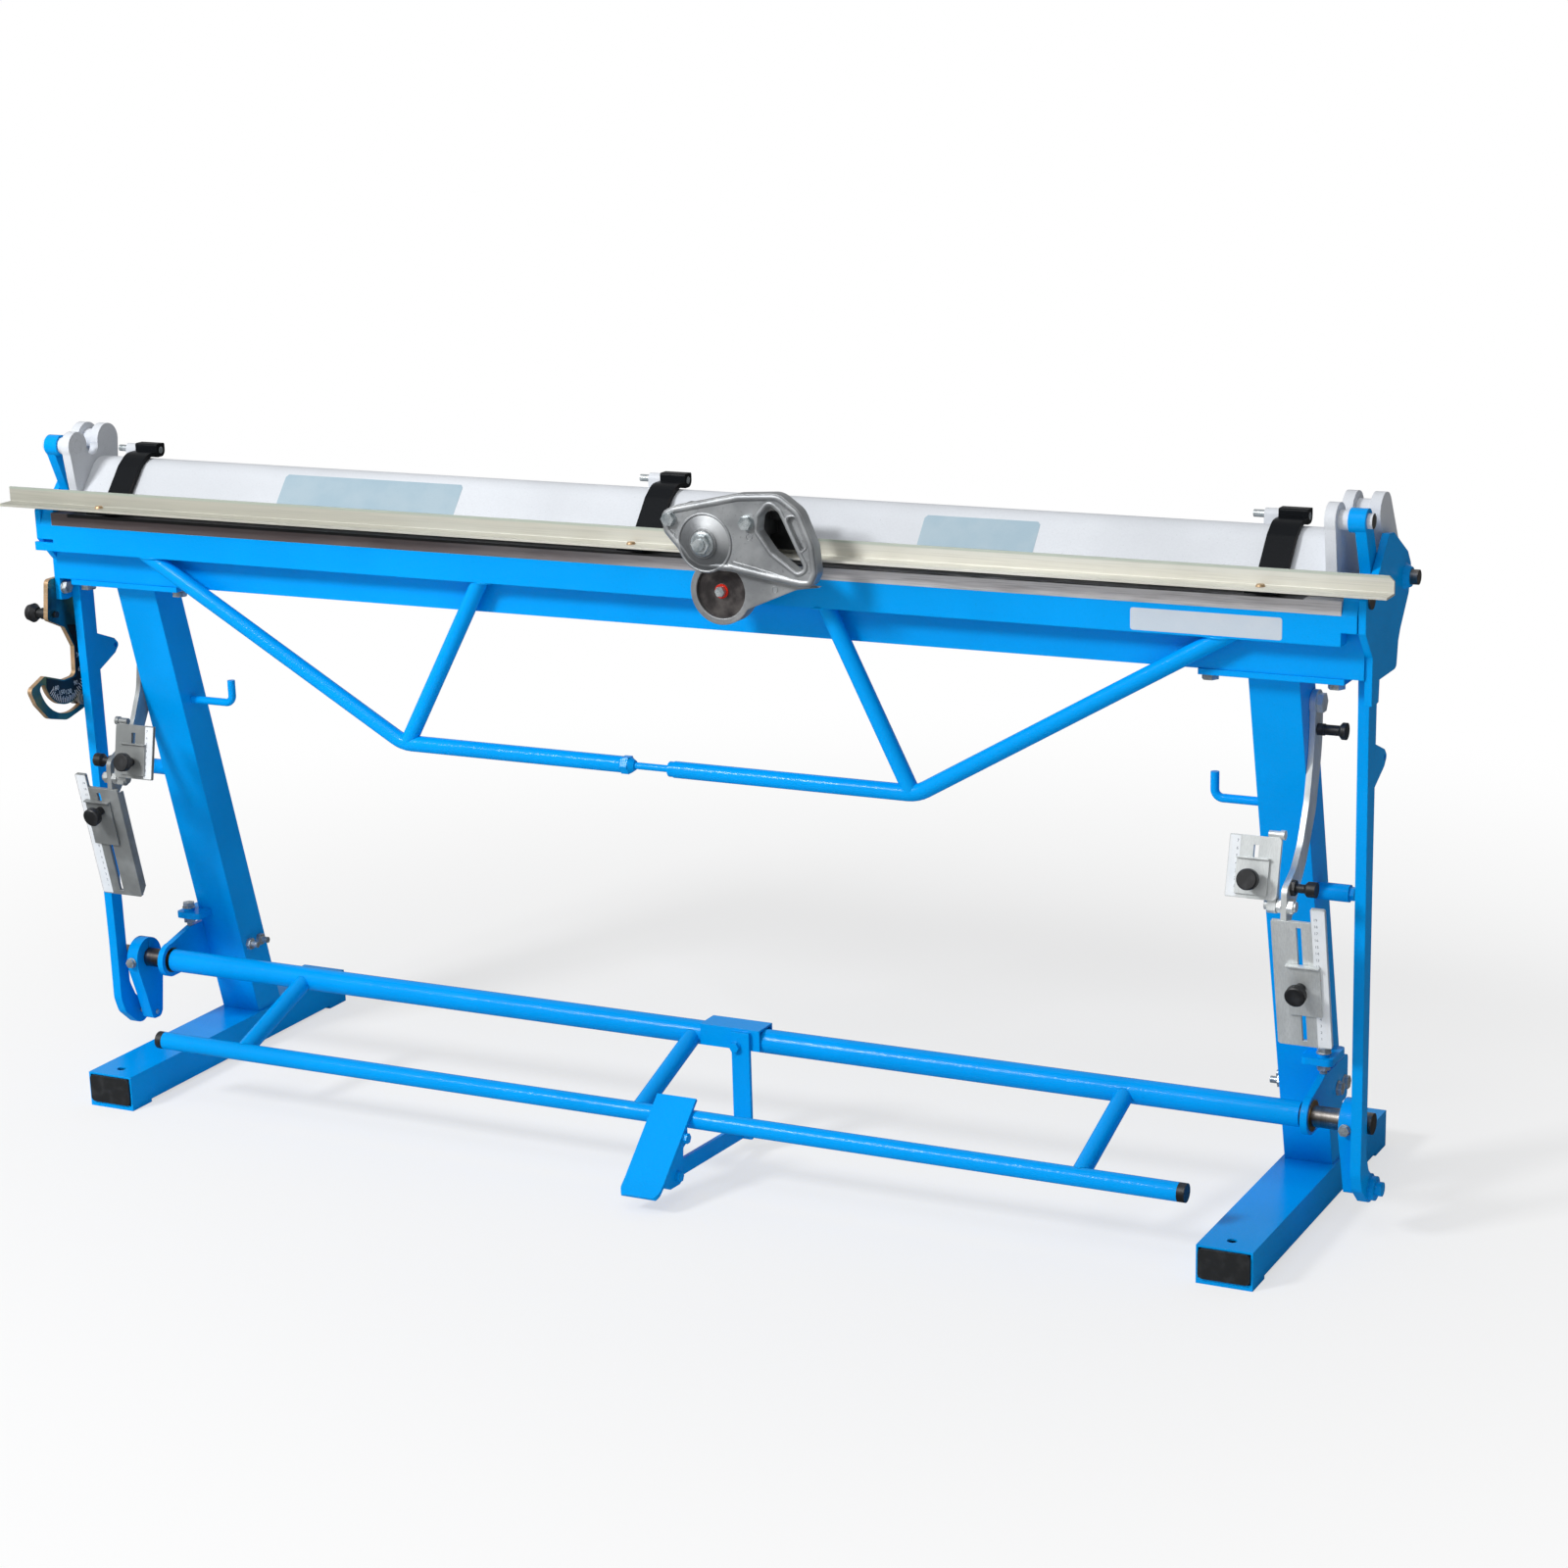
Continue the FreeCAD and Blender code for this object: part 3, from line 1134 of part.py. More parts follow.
def gauge_arm(side):
    """Curved arm from the leg to the gauge plates, with its pivot, cross rod, tab and side knob."""
    plate, little, corner = gauge_plates(side)
    x0 = leg_out + gap
    x1 = x0 + gauge_arm_t
    y = gauge_pivot_y
    z = gauge_curve_z
    lean, spot_y, drop = gauge_big_spots[side]
    lean = math.radians(lean)
    end_y = spot_y - gauge_big_h * math.sin(lean)
    end_z = leg_top - drop + gauge_big_h * math.cos(lean)
    small_lean, low_y, drop = gauge_small_spots[side]
    low_z = leg_top - drop
    bow = gauge_bows[side]
    outline = [(y - 15, gauge_pivot_z), (y - 15 + bow / 2, z - 68, 200), (y - 34 + bow, z - 142, 80),
               (y - 58 + bow, z - 192, 60), (y - 84 + bow, z - 220, 40), (end_y + 1, z - 238, 14),
               (end_y, end_z + 1), (end_y + 5, end_z - 8), (end_y + 18, end_z - 8, 8),
               (y - 80 + bow, z - 262, 40), (y - 43 + bow, z - 222, 60),
               (y - 6 + bow, z - 160, 80), (y + 17 + bow / 2, z - 75, 200), (y + 17, gauge_pivot_z)]
    arm = joined(prism("x", outline, x0, x1),
                 rod("x", y, gauge_pivot_z, gauge_arm_w / 2, x0, x1))
    arm = arm.cut(rod("x", y, gauge_pivot_z, gauge_pivot_r, x0 - 1, x1 + 1))
    pivot = joined(rod("x", y, gauge_pivot_z, gauge_pivot_r, leg_out - leg_wall, x1 + 2),
                   hexagon("x", y, gauge_pivot_z, 24, x1, x1 + 8))
    index_y = y - 4
    if side == "right":
        arm = arm.cut(rod("x", index_y, gauge_index_z, gauge_index_r + run_clear, x0 - 1, x1 + 1))
    rod_y = end_y + 9
    rod_z = end_z + 18
    tab_x = leg_out + gauge_small_outs[side] + gauge_small_w / 2 - 14
    cross = rod("x", rod_y, rod_z, gauge_rod_r, tab_x - 5, x1 + 11)
    arm = arm.cut(rod("x", rod_y, rod_z, gauge_rod_r, x0 - 1, x1 + 1)).cut(plate)
    arm = max(arm.Solids, key=lambda s: s.Volume)
    inner_nut = hexagon("x", rod_y, rod_z, 17, tab_x + 13, x0)
    outer_nut = hexagon("x", rod_y, rod_z, 17, x1, x1 + 8)
    cross = joined(cross, inner_nut, outer_nut)
    web = [(rod_y - 8, rod_z), (rod_y + 8, rod_z), (rod_y + 8, low_z + 32), (low_y + 4, low_z + 32)]
    tab = joined(prism("x", web, tab_x, tab_x + 12),
                 rod("x", rod_y, rod_z, gauge_rod_r + 4, tab_x, tab_x + 12))
    tab = tab.cut(rod("x", rod_y, rod_z, gauge_rod_r, tab_x - 1, tab_x + 13))
    front = box(tab_x - 1, tab_x + 13, -40, gauge_plate_t, -20, gauge_small_h)
    front = leaned(front, gauge_small_spots[side])
    tab = max(tab.cut(front).cut(cross).Solids, key=lambda s: s.Volume)
    knob_y = end_y + 22
    knob_z = end_z + 40
    knob = joined(hexagon("x", knob_y, knob_z, 19, x1, x1 + 6),
                  rod("x", knob_y, knob_z, 6, x1 + 6, x1 + 22),
                  cone("x", knob_y, knob_z, 6, 10.5, x1 + 18, x1 + 22),
                  rod("x", knob_y, knob_z, 10.5, x1 + 22, x1 + 34))
    pieces = [arm, pivot, cross, tab, knob]
    plates = [plate, little, corner]
    if side == "left":
        pieces = [mirrored(s) for s in pieces]
        plates = [mirrored(s) for s in plates]
    save(side + "_gauge_arm", pieces)
    save(side + "_gauge_plates", plates)
    if side == "right":
        plunger = joined(rod("x", index_y, gauge_index_z, gauge_index_r, x0, x1 + 2),
                         rod("x", index_y, gauge_index_z, 8, x1 + gap, x1 + 10),
                         rod("x", index_y, gauge_index_z, 7, x1 + 10, x1 + 30),
                         cone("x", index_y, gauge_index_z, 7, 11.5, x1 + 30, x1 + 34),
                         rod("x", index_y, gauge_index_z, 11.5, x1 + 34, x1 + 40))
        save("right_gauge_plunger", [plunger])


def grip_knob(x, height, face, neck):
    """Round knob with a neck, on a stud that stands out of a face."""
    head = face - neck
    rim = 1.5
    body = joined(rod("y", x, height, gauge_neck_r, head - 1, face - gap),
                  rod("y", x, height, gauge_knob_r, head - gauge_knob_t + rim, head - rim),
                  cone("y", x, height, gauge_knob_r - rim, gauge_knob_r,
                       head - gauge_knob_t, head - gauge_knob_t + rim),
                  cone("y", x, height, gauge_knob_r, gauge_knob_r - rim, head - rim, head))
    return body.cut(rod("y", x, height, gauge_stud_r + run_clear, head - 2 - gap, face))


def gauge_slider(slot_x, middle_x, low, size, up):
    """Slider plate with a stem through the plate's slot and its knob, on an upright plate."""
    wide, high, neck = size
    face = -gap
    front = face - slider_t
    cover = box(middle_x - wide / 2, middle_x + wide / 2, front, face, low, low + high)
    lip = box(middle_x - wide / 2, middle_x + wide / 2, front - 4, front, low + high - 2, low + high)
    stud_z = low + up
    back = gauge_plate_t + gap
    stem = rod("y", slot_x, stud_z, gauge_slot_w / 2 - gap, face, back)
    tail = rod("y", slot_x, stud_z, gauge_slot_w, back, back + 4)
    stud = rod("y", slot_x, stud_z, gauge_stud_r, front - neck - 2, front)
    return joined(cover, lip, stem, tail, stud), grip_knob(slot_x, stud_z, front, neck)


def gauge_sliders(side):
    """Sliders of the big and the small plate with their knobs."""
    spot = gauge_big_spots[side]
    slot_x = leg_out + gauge_big_outs[side]
    big = gauge_slider(slot_x, slot_x + 4, big_slider_ups[side], big_slider, big_stud_ups[side])
    middle = leg_out + gauge_small_outs[side]
    small = gauge_slider(middle + 2, middle, small_slider_up, small_slider, small_stud_up)
    pieces = [leaned(piece, spot) for piece in big]
    pieces.extend([leaned(piece, gauge_small_spots[side]) for piece in small])
    if side == "left":
        pieces = [mirrored(s) for s in pieces]
    save(side + "_gauge_slider", [pieces[0]])
    save(side + "_slider_knob", [pieces[1]])
    save(side + "_small_slider", [pieces[2]])
    save(side + "_small_knob", [pieces[3]])


os.makedirs("parts", exist_ok=True)
feet()
legs()
lower_beam()
side_plates()
bearings()
stand_bolts()
leaf()
upper_beam()
end_plates()
link()
torsion()
foot_bar()
pedal()
swing_rail()
carriage()
angle_stop()
hooks_and_posts()
for side in gauge_big_spots:
    gauge_arm(side)
    gauge_sliders(side)
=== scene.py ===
"""Sheet metal folding machine: finishes, scales, labels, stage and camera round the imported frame."""
import functools
import json
import math

import bmesh
import bpy
from mathutils import Matrix, Vector

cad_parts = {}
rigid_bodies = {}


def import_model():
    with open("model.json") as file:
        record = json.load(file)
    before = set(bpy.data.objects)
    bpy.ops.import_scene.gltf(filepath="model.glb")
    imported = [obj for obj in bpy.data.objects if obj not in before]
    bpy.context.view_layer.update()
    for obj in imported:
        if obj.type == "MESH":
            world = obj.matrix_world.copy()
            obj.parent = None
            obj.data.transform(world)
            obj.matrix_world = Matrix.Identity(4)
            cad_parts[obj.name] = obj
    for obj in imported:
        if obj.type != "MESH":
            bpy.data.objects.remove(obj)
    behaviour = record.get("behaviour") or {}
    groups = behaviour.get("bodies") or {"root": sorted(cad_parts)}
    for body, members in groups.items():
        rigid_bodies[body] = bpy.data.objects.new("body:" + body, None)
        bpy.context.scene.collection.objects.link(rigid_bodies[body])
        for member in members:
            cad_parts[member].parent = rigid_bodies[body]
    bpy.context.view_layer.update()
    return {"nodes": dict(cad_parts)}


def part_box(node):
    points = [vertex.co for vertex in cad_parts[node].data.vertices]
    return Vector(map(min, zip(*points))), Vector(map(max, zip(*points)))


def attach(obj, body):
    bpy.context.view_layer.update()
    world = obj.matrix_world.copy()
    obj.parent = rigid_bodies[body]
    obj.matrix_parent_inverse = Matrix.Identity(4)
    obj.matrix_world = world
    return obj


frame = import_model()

bl_info = {
    "name": "Sheet Metal Folding Machine",
    "version": (1, 0, 0),
    "blender": (4, 5, 0),
    "location": "3D View > Sidebar > Folder",
    "description": "Finishes, scales, labels and stage of a foot-clamped folding machine",
    "category": "Object",
}

MM = 0.001
WHITE = (1.0, 1.0, 1.0, 1.0)

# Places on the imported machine, in millimetres and degrees

SHEET_Z = 912.0
LEG_TOP = 796.0
CARRIAGE_X, CASTING_FRONT, HOUSING_FRONT = 168.0, -261.0, -246.3
HUB_X, HUB_Z, HUB_RADIUS = CARRIAGE_X - 18.0, SHEET_Z + 37.0, 37.5
# The third value is the height at the machine's middle where the strip's black band of painted shade
# starts
STRIP_LEFT, STRIP_RIGHT, SHADE_BAND_LOW, RAIL_RIM = -990.0, 972.0, 908.5, 945.5
# X from which the zinc's painted shade grows darker toward the left-hand side
LEFT_SHADE_START = 300.0
ANGLE_FACE, ANGLE_Y, ANGLE_Z = -1052.0, -145.0, 656.0
JAW_LEAN, JAW_FOOT_Y, TUBE_Z, TUBE_RADIUS = 50.0, -165.7, 951.0, 35.0
TORSION_Y, TORSION_Z, TORSION_RADIUS = -70.0, 172.0, 18.0
FOOT_BAR_Y, FOOT_BAR_Z, FOOT_BAR_RADIUS, ARM_WELD_RADIUS = -253.5, 108.0, 13.45, 11.0
FOOT_ARMS_X = (-689.0, 5.0, 689.0)
TRUSS_Y, TRUSS_NODE_Z, TRUSS_LEFT_X, TRUSS_RIGHT_X = -172.0, 601.5, -414.0, 420.0
TRUSS_ENDS_X, TRUSS_RADIUS = (-850.0, 860.0, -255.0, 278.0), 12.0

# Side and plate: lean, Y of the front face, drop below the leg's top, X of the slot
GAUGE_PLATES = {
    ("left", "big"): (12.5, -144.6, 497.2, 978.0), ("left", "small"): (-11.4, -187.0, 291.0, 906.0),
    ("right", "big"): (12.5, -153.6, 495.2, 973.5), ("right", "small"): (-14.3, -196.9, 285.0, 908.5),
}

WHEEL_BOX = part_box("lower_cutter")
WHEEL_X = (WHEEL_BOX[0][0] + WHEEL_BOX[1][0]) / 2
WHEEL_Z = (WHEEL_BOX[0][2] + WHEEL_BOX[1][2]) / 2
LINK_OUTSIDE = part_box("outer_end_plates")[1][0] + 0.2 * MM
BAR_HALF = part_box("foot_bar")[1][0] - 10.9 * MM


def srgb(red, green, blue):
    """Linear colour of an 8 bit sRGB one."""
    steps = [v / 255.0 for v in (red, green, blue)]
    return tuple(v / 12.92 if v <= 0.04045 else ((v + 0.055) / 1.055) ** 2.4 for v in steps)


def shade(colour, factor):
    """A colour made lighter or darker."""
    return tuple(min(1.0, c * factor) for c in colour[:3])


# Node kit


class Value:
    """Output of a node that takes part in Python arithmetic."""

    def __init__(self, graph, socket):
        self.graph = graph
        self.socket = socket

    def __add__(self, other):
        return self.graph.math("ADD", self, other)

    def __radd__(self, other):
        return self.graph.math("ADD", other, self)

    def __sub__(self, other):
        return self.graph.math("SUBTRACT", self, other)

    def __rsub__(self, other):
        return self.graph.math("SUBTRACT", other, self)

    def __mul__(self, other):
        return self.graph.math("MULTIPLY", self, other)

    def __truediv__(self, other):
        return self.graph.math("DIVIDE", self, other)

    def __mod__(self, other):
        return self.graph.math("MODULO", self, other)

    def ramp(self, low, high, start=0.0, end=1.0):
        """Smooth step from start at low to end at high."""
        return self.graph.node("ShaderNodeMapRange", (self, low, high, start, end),
                               interpolation_type="SMOOTHSTEP", clamp=True)


class Graph:
    """A node tree whose nodes all come from one method."""

    def __init__(self, tree):
        self.tree = tree
        tree.nodes.clear()

    def node(self, kind, inputs=(), output=0, stops=(), **settings):
        """A node of a kind with its settings, ramp stops and the values or links of its sockets."""
        node = self.tree.nodes.new(kind)
        for key, value in settings.items():
            setattr(node, key, value)
        if stops:
            elements = node.color_ramp.elements
            while len(elements) < len(stops):
                elements.new(0.5)
            for element, (where, colour) in zip(elements, stops):
                element.position = where
                element.color = (*colour, 1.0)
        pairs = inputs.items() if isinstance(inputs, dict) else enumerate(inputs)
        for key, value in pairs:
            if isinstance(value, Value):
                self.tree.links.new(value.socket, node.inputs[key])
            else:
                node.inputs[key].default_value = value
        return Value(self, node.outputs[output]) if len(node.outputs) else None

    def math(self, operation, *terms):
        return self.node("ShaderNodeMath", terms, operation=operation)

    @functools.cached_property
    def place(self):
        """Object coordinates."""
        return self.node("ShaderNodeTexCoord", output="Object")

    def axis(self, letter):
        """One of the object coordinates, in metres."""
        return self.node("ShaderNodeSeparateXYZ", (self.place,), letter)

    def length(self, vector):
        """Length of a vector."""
        return self.node("ShaderNodeVectorMath", (vector,), "Value", operation="LENGTH")

    def blend(self, factor, first, second):
        """Mix of two colours."""
        first, second = (c if isinstance(c, Value) else (*c[:3], 1.0) for c in (first, second))
        return self.node("ShaderNodeMix", {0: factor, 6: first, 7: second}, 2,
                         data_type="RGBA", clamp_factor=True)


class Finish(Graph):
    """One procedural material built round a Principled shader."""

    def __init__(self, name, colour, roughness, metallic=0.0, **fixed):
        self.material = bpy.data.materials.new(name)
        self.material.use_nodes = True
        self.material.diffuse_color = (*colour, 1.0)
        self.material.roughness = roughness
        self.material.metallic = metallic
        super().__init__(self.material.node_tree)
        sockets = {key.replace("_", " "): value for key, value in fixed.items()}
        shader = self.node("ShaderNodeBsdfPrincipled", {
            "Base Color": (*colour, 1.0), "Roughness": roughness, "Metallic": metallic, **sockets})
        self.node("ShaderNodeOutputMaterial", {"Surface": shader})
        self.inputs = shader.socket.node.inputs

    def noise(self, scale, detail, stretch=None):
        """Noise on object coordinates, with a stretch along each axis."""
        place = self.place
        if stretch:
            place = self.node("ShaderNodeMapping", {"Vector": place, "Scale": stretch})
        return self.node("ShaderNodeTexNoise", {"Vector": place, "Scale": scale, "Detail": detail})

    def rings(self, reach, scale):
        """Turned marks at a distance from an axis."""
        return self.node("ShaderNodeTexNoise", {"W": reach * scale, "Scale": 1.0, "Detail": 2.0},
                         noise_dimensions="1D")

    def offsets(self, x, z):
        """Offsets in X and Z from an axis along Y, and the distance from it."""
        across, upward = self.axis("X") - x, self.axis("Z") - z
        spot = self.node("ShaderNodeCombineXYZ", (across, 0.0, upward))
        return across, upward, self.length(spot)

    def rounded(self, radius):
        """Normal that rounds the edges."""
        return self.node("ShaderNodeBevel", {"Radius": radius}, samples=4)

    def edges(self, radius, gain):
        """Normal that rounds the edges, and a mask that is 1 on them."""
        soft = self.rounded(radius)
        normal = self.node("ShaderNodeNewGeometry", output="Normal")
        dot = self.node("ShaderNodeVectorMath", (soft, normal), "Value", operation="DOT_PRODUCT")
        return soft, ((1.0 - dot) * gain).ramp(0.0, 1.0)

    def layers(self, ground, *coats):
        """Ground of (mask, two colours) under coats of (mask, colour)."""
        base = self.blend(*ground)
        for mask, colour in coats:
            base = self.blend(mask, base, colour)
        return base

    def complete(self, base, roughness, height, depth, soft=None):
        """Material with its colour, roughness and a bump of a height, depth metres deep."""
        sockets = {"Height": height, "Distance": depth, "Strength": 1.0}
        if soft:
            sockets["Normal"] = soft
        self.feed("Base Color", base)
        self.feed("Roughness", roughness)
        self.feed("Normal", self.node("ShaderNodeBump", sockets))
        return self.material

    def feed(self, name, value):
        """Link a value to one of the shader's own sockets."""
        self.tree.links.new(value.socket, self.inputs[name])


# Finishes


def enamel(name, colour, gloss, peel, worn, wear):
    """Brushed or sprayed enamel: orange peel, dust, slightly thin paint on the edges."""
    finish = Finish(name, colour, gloss, Specular_IOR_Level=0.13)
    soft, edge = finish.edges(1.4 * MM, 3.0)
    cloud = finish.noise(4.0, 3.0)
    grain = finish.noise(330.0, 2.0)
    speck = finish.noise(620.0, 1.0)
    scuff = finish.noise(38.0, 5.0, (1.0, 1.0, 0.35))
    base = finish.layers((cloud.ramp(0.32, 0.68), shade(colour, 0.93), shade(colour, 1.05)),
                         (grain.ramp(0.35, 0.7) * 0.10, shade(colour, 0.75)),
                         (speck.ramp(0.74, 0.78) * 0.45, shade(colour, 0.35)),
                         (edge * scuff.ramp(0.42, 0.72) * wear, worn))
    return finish.complete(base, grain * 0.10 + gloss + cloud * 0.06 - 0.08 + edge * 0.06,
                           grain * 0.7 + speck * 0.25 + cloud * 0.6, peel, soft)


def moulded(name, colour, roughness, grain_depth, worn):
    """Moulded plastic or rubber with a fine grain and handled edges."""
    finish = Finish(name, colour, roughness)
    soft, edge = finish.edges(0.9 * MM, 2.5)
    grain = finish.noise(1500.0, 2.0)
    dust = finish.noise(60.0, 4.0)
    base = finish.layers((dust.ramp(0.45, 0.75) * 0.35, colour, shade(worn, 0.6)),
                         (edge * 0.4, worn))
    return finish.complete(base, roughness + grain * 0.18 + dust * 0.1 - 0.12, grain, grain_depth,
                           soft)


def brushed(name, dark, light, roughness, stretch, stain_and_shade, stain_level, metallic=1.0, scale=26.0,
            painted_left_shade=1.0):
    """Drawn, rolled or turned metal: long scratches, blotches and bright edges.

    Toward the machine's left-hand side painted shade drifts the colour to the dark one times the last
    argument."""
    finish = Finish(name, light, roughness, metallic)
    soft, edge = finish.edges(0.8 * MM, 2.5)
    lines = finish.noise(scale * 22, 4.0, stretch)
    streak = finish.noise(scale, 4.0, stretch)
    blotch = finish.noise(scale * 0.8, 4.0)
    coats = [(lines.ramp(0.35, 0.7) * 0.3, shade(dark, 0.8)),
             (blotch.ramp(0.52, 0.72) * stain_level, stain_and_shade)]
    # Painted shade: toward the left-hand side the colour darkens, broken up by the blotches
    if painted_left_shade < 1.0:
        left = (LEFT_SHADE_START * MM - finish.axis("X")).ramp(0.0, 1.0)
        left = left * blotch.ramp(0.25, 0.6, 0.7, 1.0)
        coats.append((left, shade(dark, painted_left_shade)))
    base = finish.layers((streak.ramp(0.3, 0.7), dark, light), *coats,
                         (edge * 0.5, shade(light, 1.15)))
    return finish.complete(base, roughness + lines * 0.2 + blotch * 0.14 - 0.17,
                           lines + streak * 0.5, 0.10 * MM, soft)


def jaw_strip(name):
    """Ground strip of the leaf: brown-grey toward its left end, bright and streaky at its right.

    Along its top edge runs a black band of painted shade, which also stands in for the clamping
    blade's front; it is thinner where scratches cut through it."""
    bright = srgb(226, 224, 226)
    finish = Finish(name, bright, 0.34, 1.0)
    soft, edge = finish.edges(0.7 * MM, 2.5)
    along = finish.axis("X")
    lines = finish.noise(700.0, 4.0, (0.03, 1.0, 1.0))
    patch = finish.noise(11.0, 5.0, (0.5, 1.0, 2.0))
    tone = (along + patch * 0.5 - 0.25).ramp(-0.45, 0.45)
    # Black band along the top edge: painted shade between the rail and the strip, which also stands in
    # for the clamping blade's black front
    shade_band_low = along * 0.0022 + SHADE_BAND_LOW * MM + (patch - 0.5) * 0.0008
    stain_and_shade = (finish.axis("Z") - shade_band_low).ramp(0.0, 0.0007)
    stain_and_shade = stain_and_shade * (along - STRIP_LEFT * MM).ramp(0.0, 0.002)
    stain_and_shade = stain_and_shade * (STRIP_RIGHT * MM - along).ramp(0.0, 0.004)
    scratch = lines.ramp(0.52, 0.72) * (along + 0.2).ramp(0.0, 0.9) * 0.55
    base = finish.layers((tone, srgb(98, 86, 86), bright),
                         (patch.ramp(0.5, 0.75) * 0.45, srgb(128, 118, 116)),
                         (lines.ramp(0.4, 0.7) * 0.3, srgb(110, 106, 108)),
                         (edge * 0.6, srgb(238, 238, 240)),
                         (stain_and_shade * (1.0 - scratch) * 0.96, srgb(12, 14, 17)))
    finish.feed("Metallic", (tone * 0.1 + 0.25) * (1.0 - stain_and_shade * 0.9))
    return finish.complete(base, 0.5 - tone * 0.12 + lines * 0.14, lines + patch * 0.4, 0.12 * MM,
                           soft)


def plated_rail(name):
    """Pale plated angle: creamy faces with grey-green drawn edges and long faint scratches."""
    cream = srgb(228, 228, 220)
    finish = Finish(name, cream, 0.42, 0.25)
    soft, edge = finish.edges(0.7 * MM, 3.0)
    lines = finish.noise(520.0, 4.0, (0.02, 1.0, 1.0))
    band = finish.noise(60.0, 3.0, (0.02, 1.0, 1.0))
    cloud = finish.noise(7.0, 4.0)
    rim = (finish.axis("Z") - RAIL_RIM * MM).ramp(0.0, 0.0025)
    bright = (finish.axis("X") + 1.0).ramp(0.0, 1.7)
    base = finish.layers((bright, srgb(178, 178, 168), cream),
                         (cloud.ramp(0.35, 0.68) * 0.5, srgb(192, 190, 178)),
                         (band.ramp(0.35, 0.7) * 0.3, srgb(226, 221, 206)),
                         (lines.ramp(0.45, 0.75) * 0.22, srgb(150, 150, 138)),
                         (rim * 0.7, srgb(176, 190, 178)),
                         (edge * 0.5, srgb(212, 224, 214)))
    return finish.complete(base, lines * 0.16 + 0.34 + cloud * 0.1, lines * 0.7 + band, 0.14 * MM,
                           soft)


def cast_alloy(name):
    """Sand cast aluminium: satin grey skin, fine pits and brighter rubbed edges.

    The hub is turned: it has rings round its axis, and a painted highlight toward its upper right with
    painted shade elsewhere and near the axis."""
    grey = srgb(186, 189, 191)
    finish = Finish(name, grey, 0.36, 0.75)
    soft, edge = finish.edges(2.2 * MM, 2.2)
    sand = finish.noise(900.0, 3.0)
    pits = finish.noise(260.0, 4.0)
    cloud = finish.noise(22.0, 4.0)
    across, upward, reach = finish.offsets(HUB_X * MM, HUB_Z * MM)
    hub = (HUB_RADIUS * MM - reach).ramp(-0.0006, 0.0006)
    # Painted highlight of the hub: lighter toward its upper right, darker elsewhere and near its axis
    painted_highlight = ((across + upward) / (reach + 0.004)).ramp(0.2, 1.42) * (reach - 0.012).ramp(0.0, 0.016)
    rings = finish.rings(reach, 900.0)
    # Colour of the hub, from painted shade to painted highlight
    turned = finish.blend(painted_highlight, srgb(98, 101, 104), srgb(206, 209, 211))
    base = finish.layers((cloud.ramp(0.35, 0.68), srgb(156, 159, 162), grey),
                         (pits.ramp(0.6, 0.72) * 0.4, srgb(104, 106, 108)),
                         (hub * (rings * 0.3 + 0.6), turned),
                         (edge * 0.8, srgb(220, 222, 223)))
    return finish.complete(base, sand * 0.14 + 0.34 + cloud * 0.12,
                           sand * 0.6 + pits * 0.8 + hub * rings * 0.5, 0.22 * MM, soft)


def hard_wheel(name):
    """Hardened cutter: dark turned face with round tool marks and a rubbed rim."""
    finish = Finish(name, srgb(92, 88, 88), 0.36, 0.85)
    soft, edge = finish.edges(0.9 * MM, 2.5)
    rings = finish.rings(finish.offsets(WHEEL_X, WHEEL_Z)[2], 1400.0)
    cloud = finish.noise(48.0, 4.0)
    base = finish.layers((cloud.ramp(0.35, 0.7), srgb(74, 70, 71), srgb(122, 117, 115)),
                         (rings.ramp(0.5, 0.75) * 0.22, srgb(150, 146, 142)),
                         (edge * 0.5, srgb(176, 174, 172)))
    return finish.complete(base, cloud * 0.22 + 0.3, rings * 0.7 + cloud * 0.4, 0.08 * MM, soft)


def passivated(name, low, middle, high):
    """Chromate passivated steel: colour drifts through teal, blue-green and straw."""
    finish = Finish(name, middle, 0.3, 0.9)
    soft, edge = finish.edges(0.8 * MM, 2.5)
    drift = finish.noise(16.0, 3.0)
    lines = finish.noise(700.0, 3.0, (1.0, 1.0, 0.1))
    base = finish.node("ShaderNodeValToRGB", (drift,), stops=((0.3, low), (0.5, middle), (0.7, high)))
    base = finish.blend(edge * 0.6, base, srgb(196, 190, 160))
    return finish.complete(base, lines * 0.2 + 0.24, lines, 0.08 * MM, soft)


def cut_edge(name):
    """Flame cut edge: tan, with upright drag lines."""
    tan = srgb(206, 170, 132)
    finish = Finish(name, tan, 0.45, 0.55)
    drag = finish.noise(420.0, 3.0, (0.12, 1.0, 1.0))
    cloud = finish.noise(34.0, 3.0)
    base = finish.layers((cloud.ramp(0.35, 0.65), srgb(172, 146, 112), tan),
                         (drag.ramp(0.5, 0.8) * 0.35, srgb(232, 214, 186)))
    return finish.complete(base, drag * 0.2 + 0.36, drag, 0.16 * MM, finish.rounded(0.8 * MM))


def printed(name, colour, roughness, fade):
    """Printed or anodised sheet: faint fibre, fingerprints and a slightly faded print."""
    finish = Finish(name, colour, roughness)
    fibre = finish.noise(800.0, 3.0, (0.3, 1.0, 1.0))
    cloud = finish.noise(26.0, 3.0)
    base = finish.layers((cloud.ramp(0.35, 0.7) * 0.5, colour, fade),
                         (fibre.ramp(0.5, 0.8) * 0.18, shade(colour, 0.8)))
    return finish.complete(base, roughness + cloud * 0.14 - 0.06, fibre, 0.03 * MM)


TURNED, UPRIGHT, EVEN, ALONG = (1.0, 0.1, 0.1), (1.0, 1.0, 0.12), (1.0, 1.0, 1.0), (0.05, 1.0, 1.0)
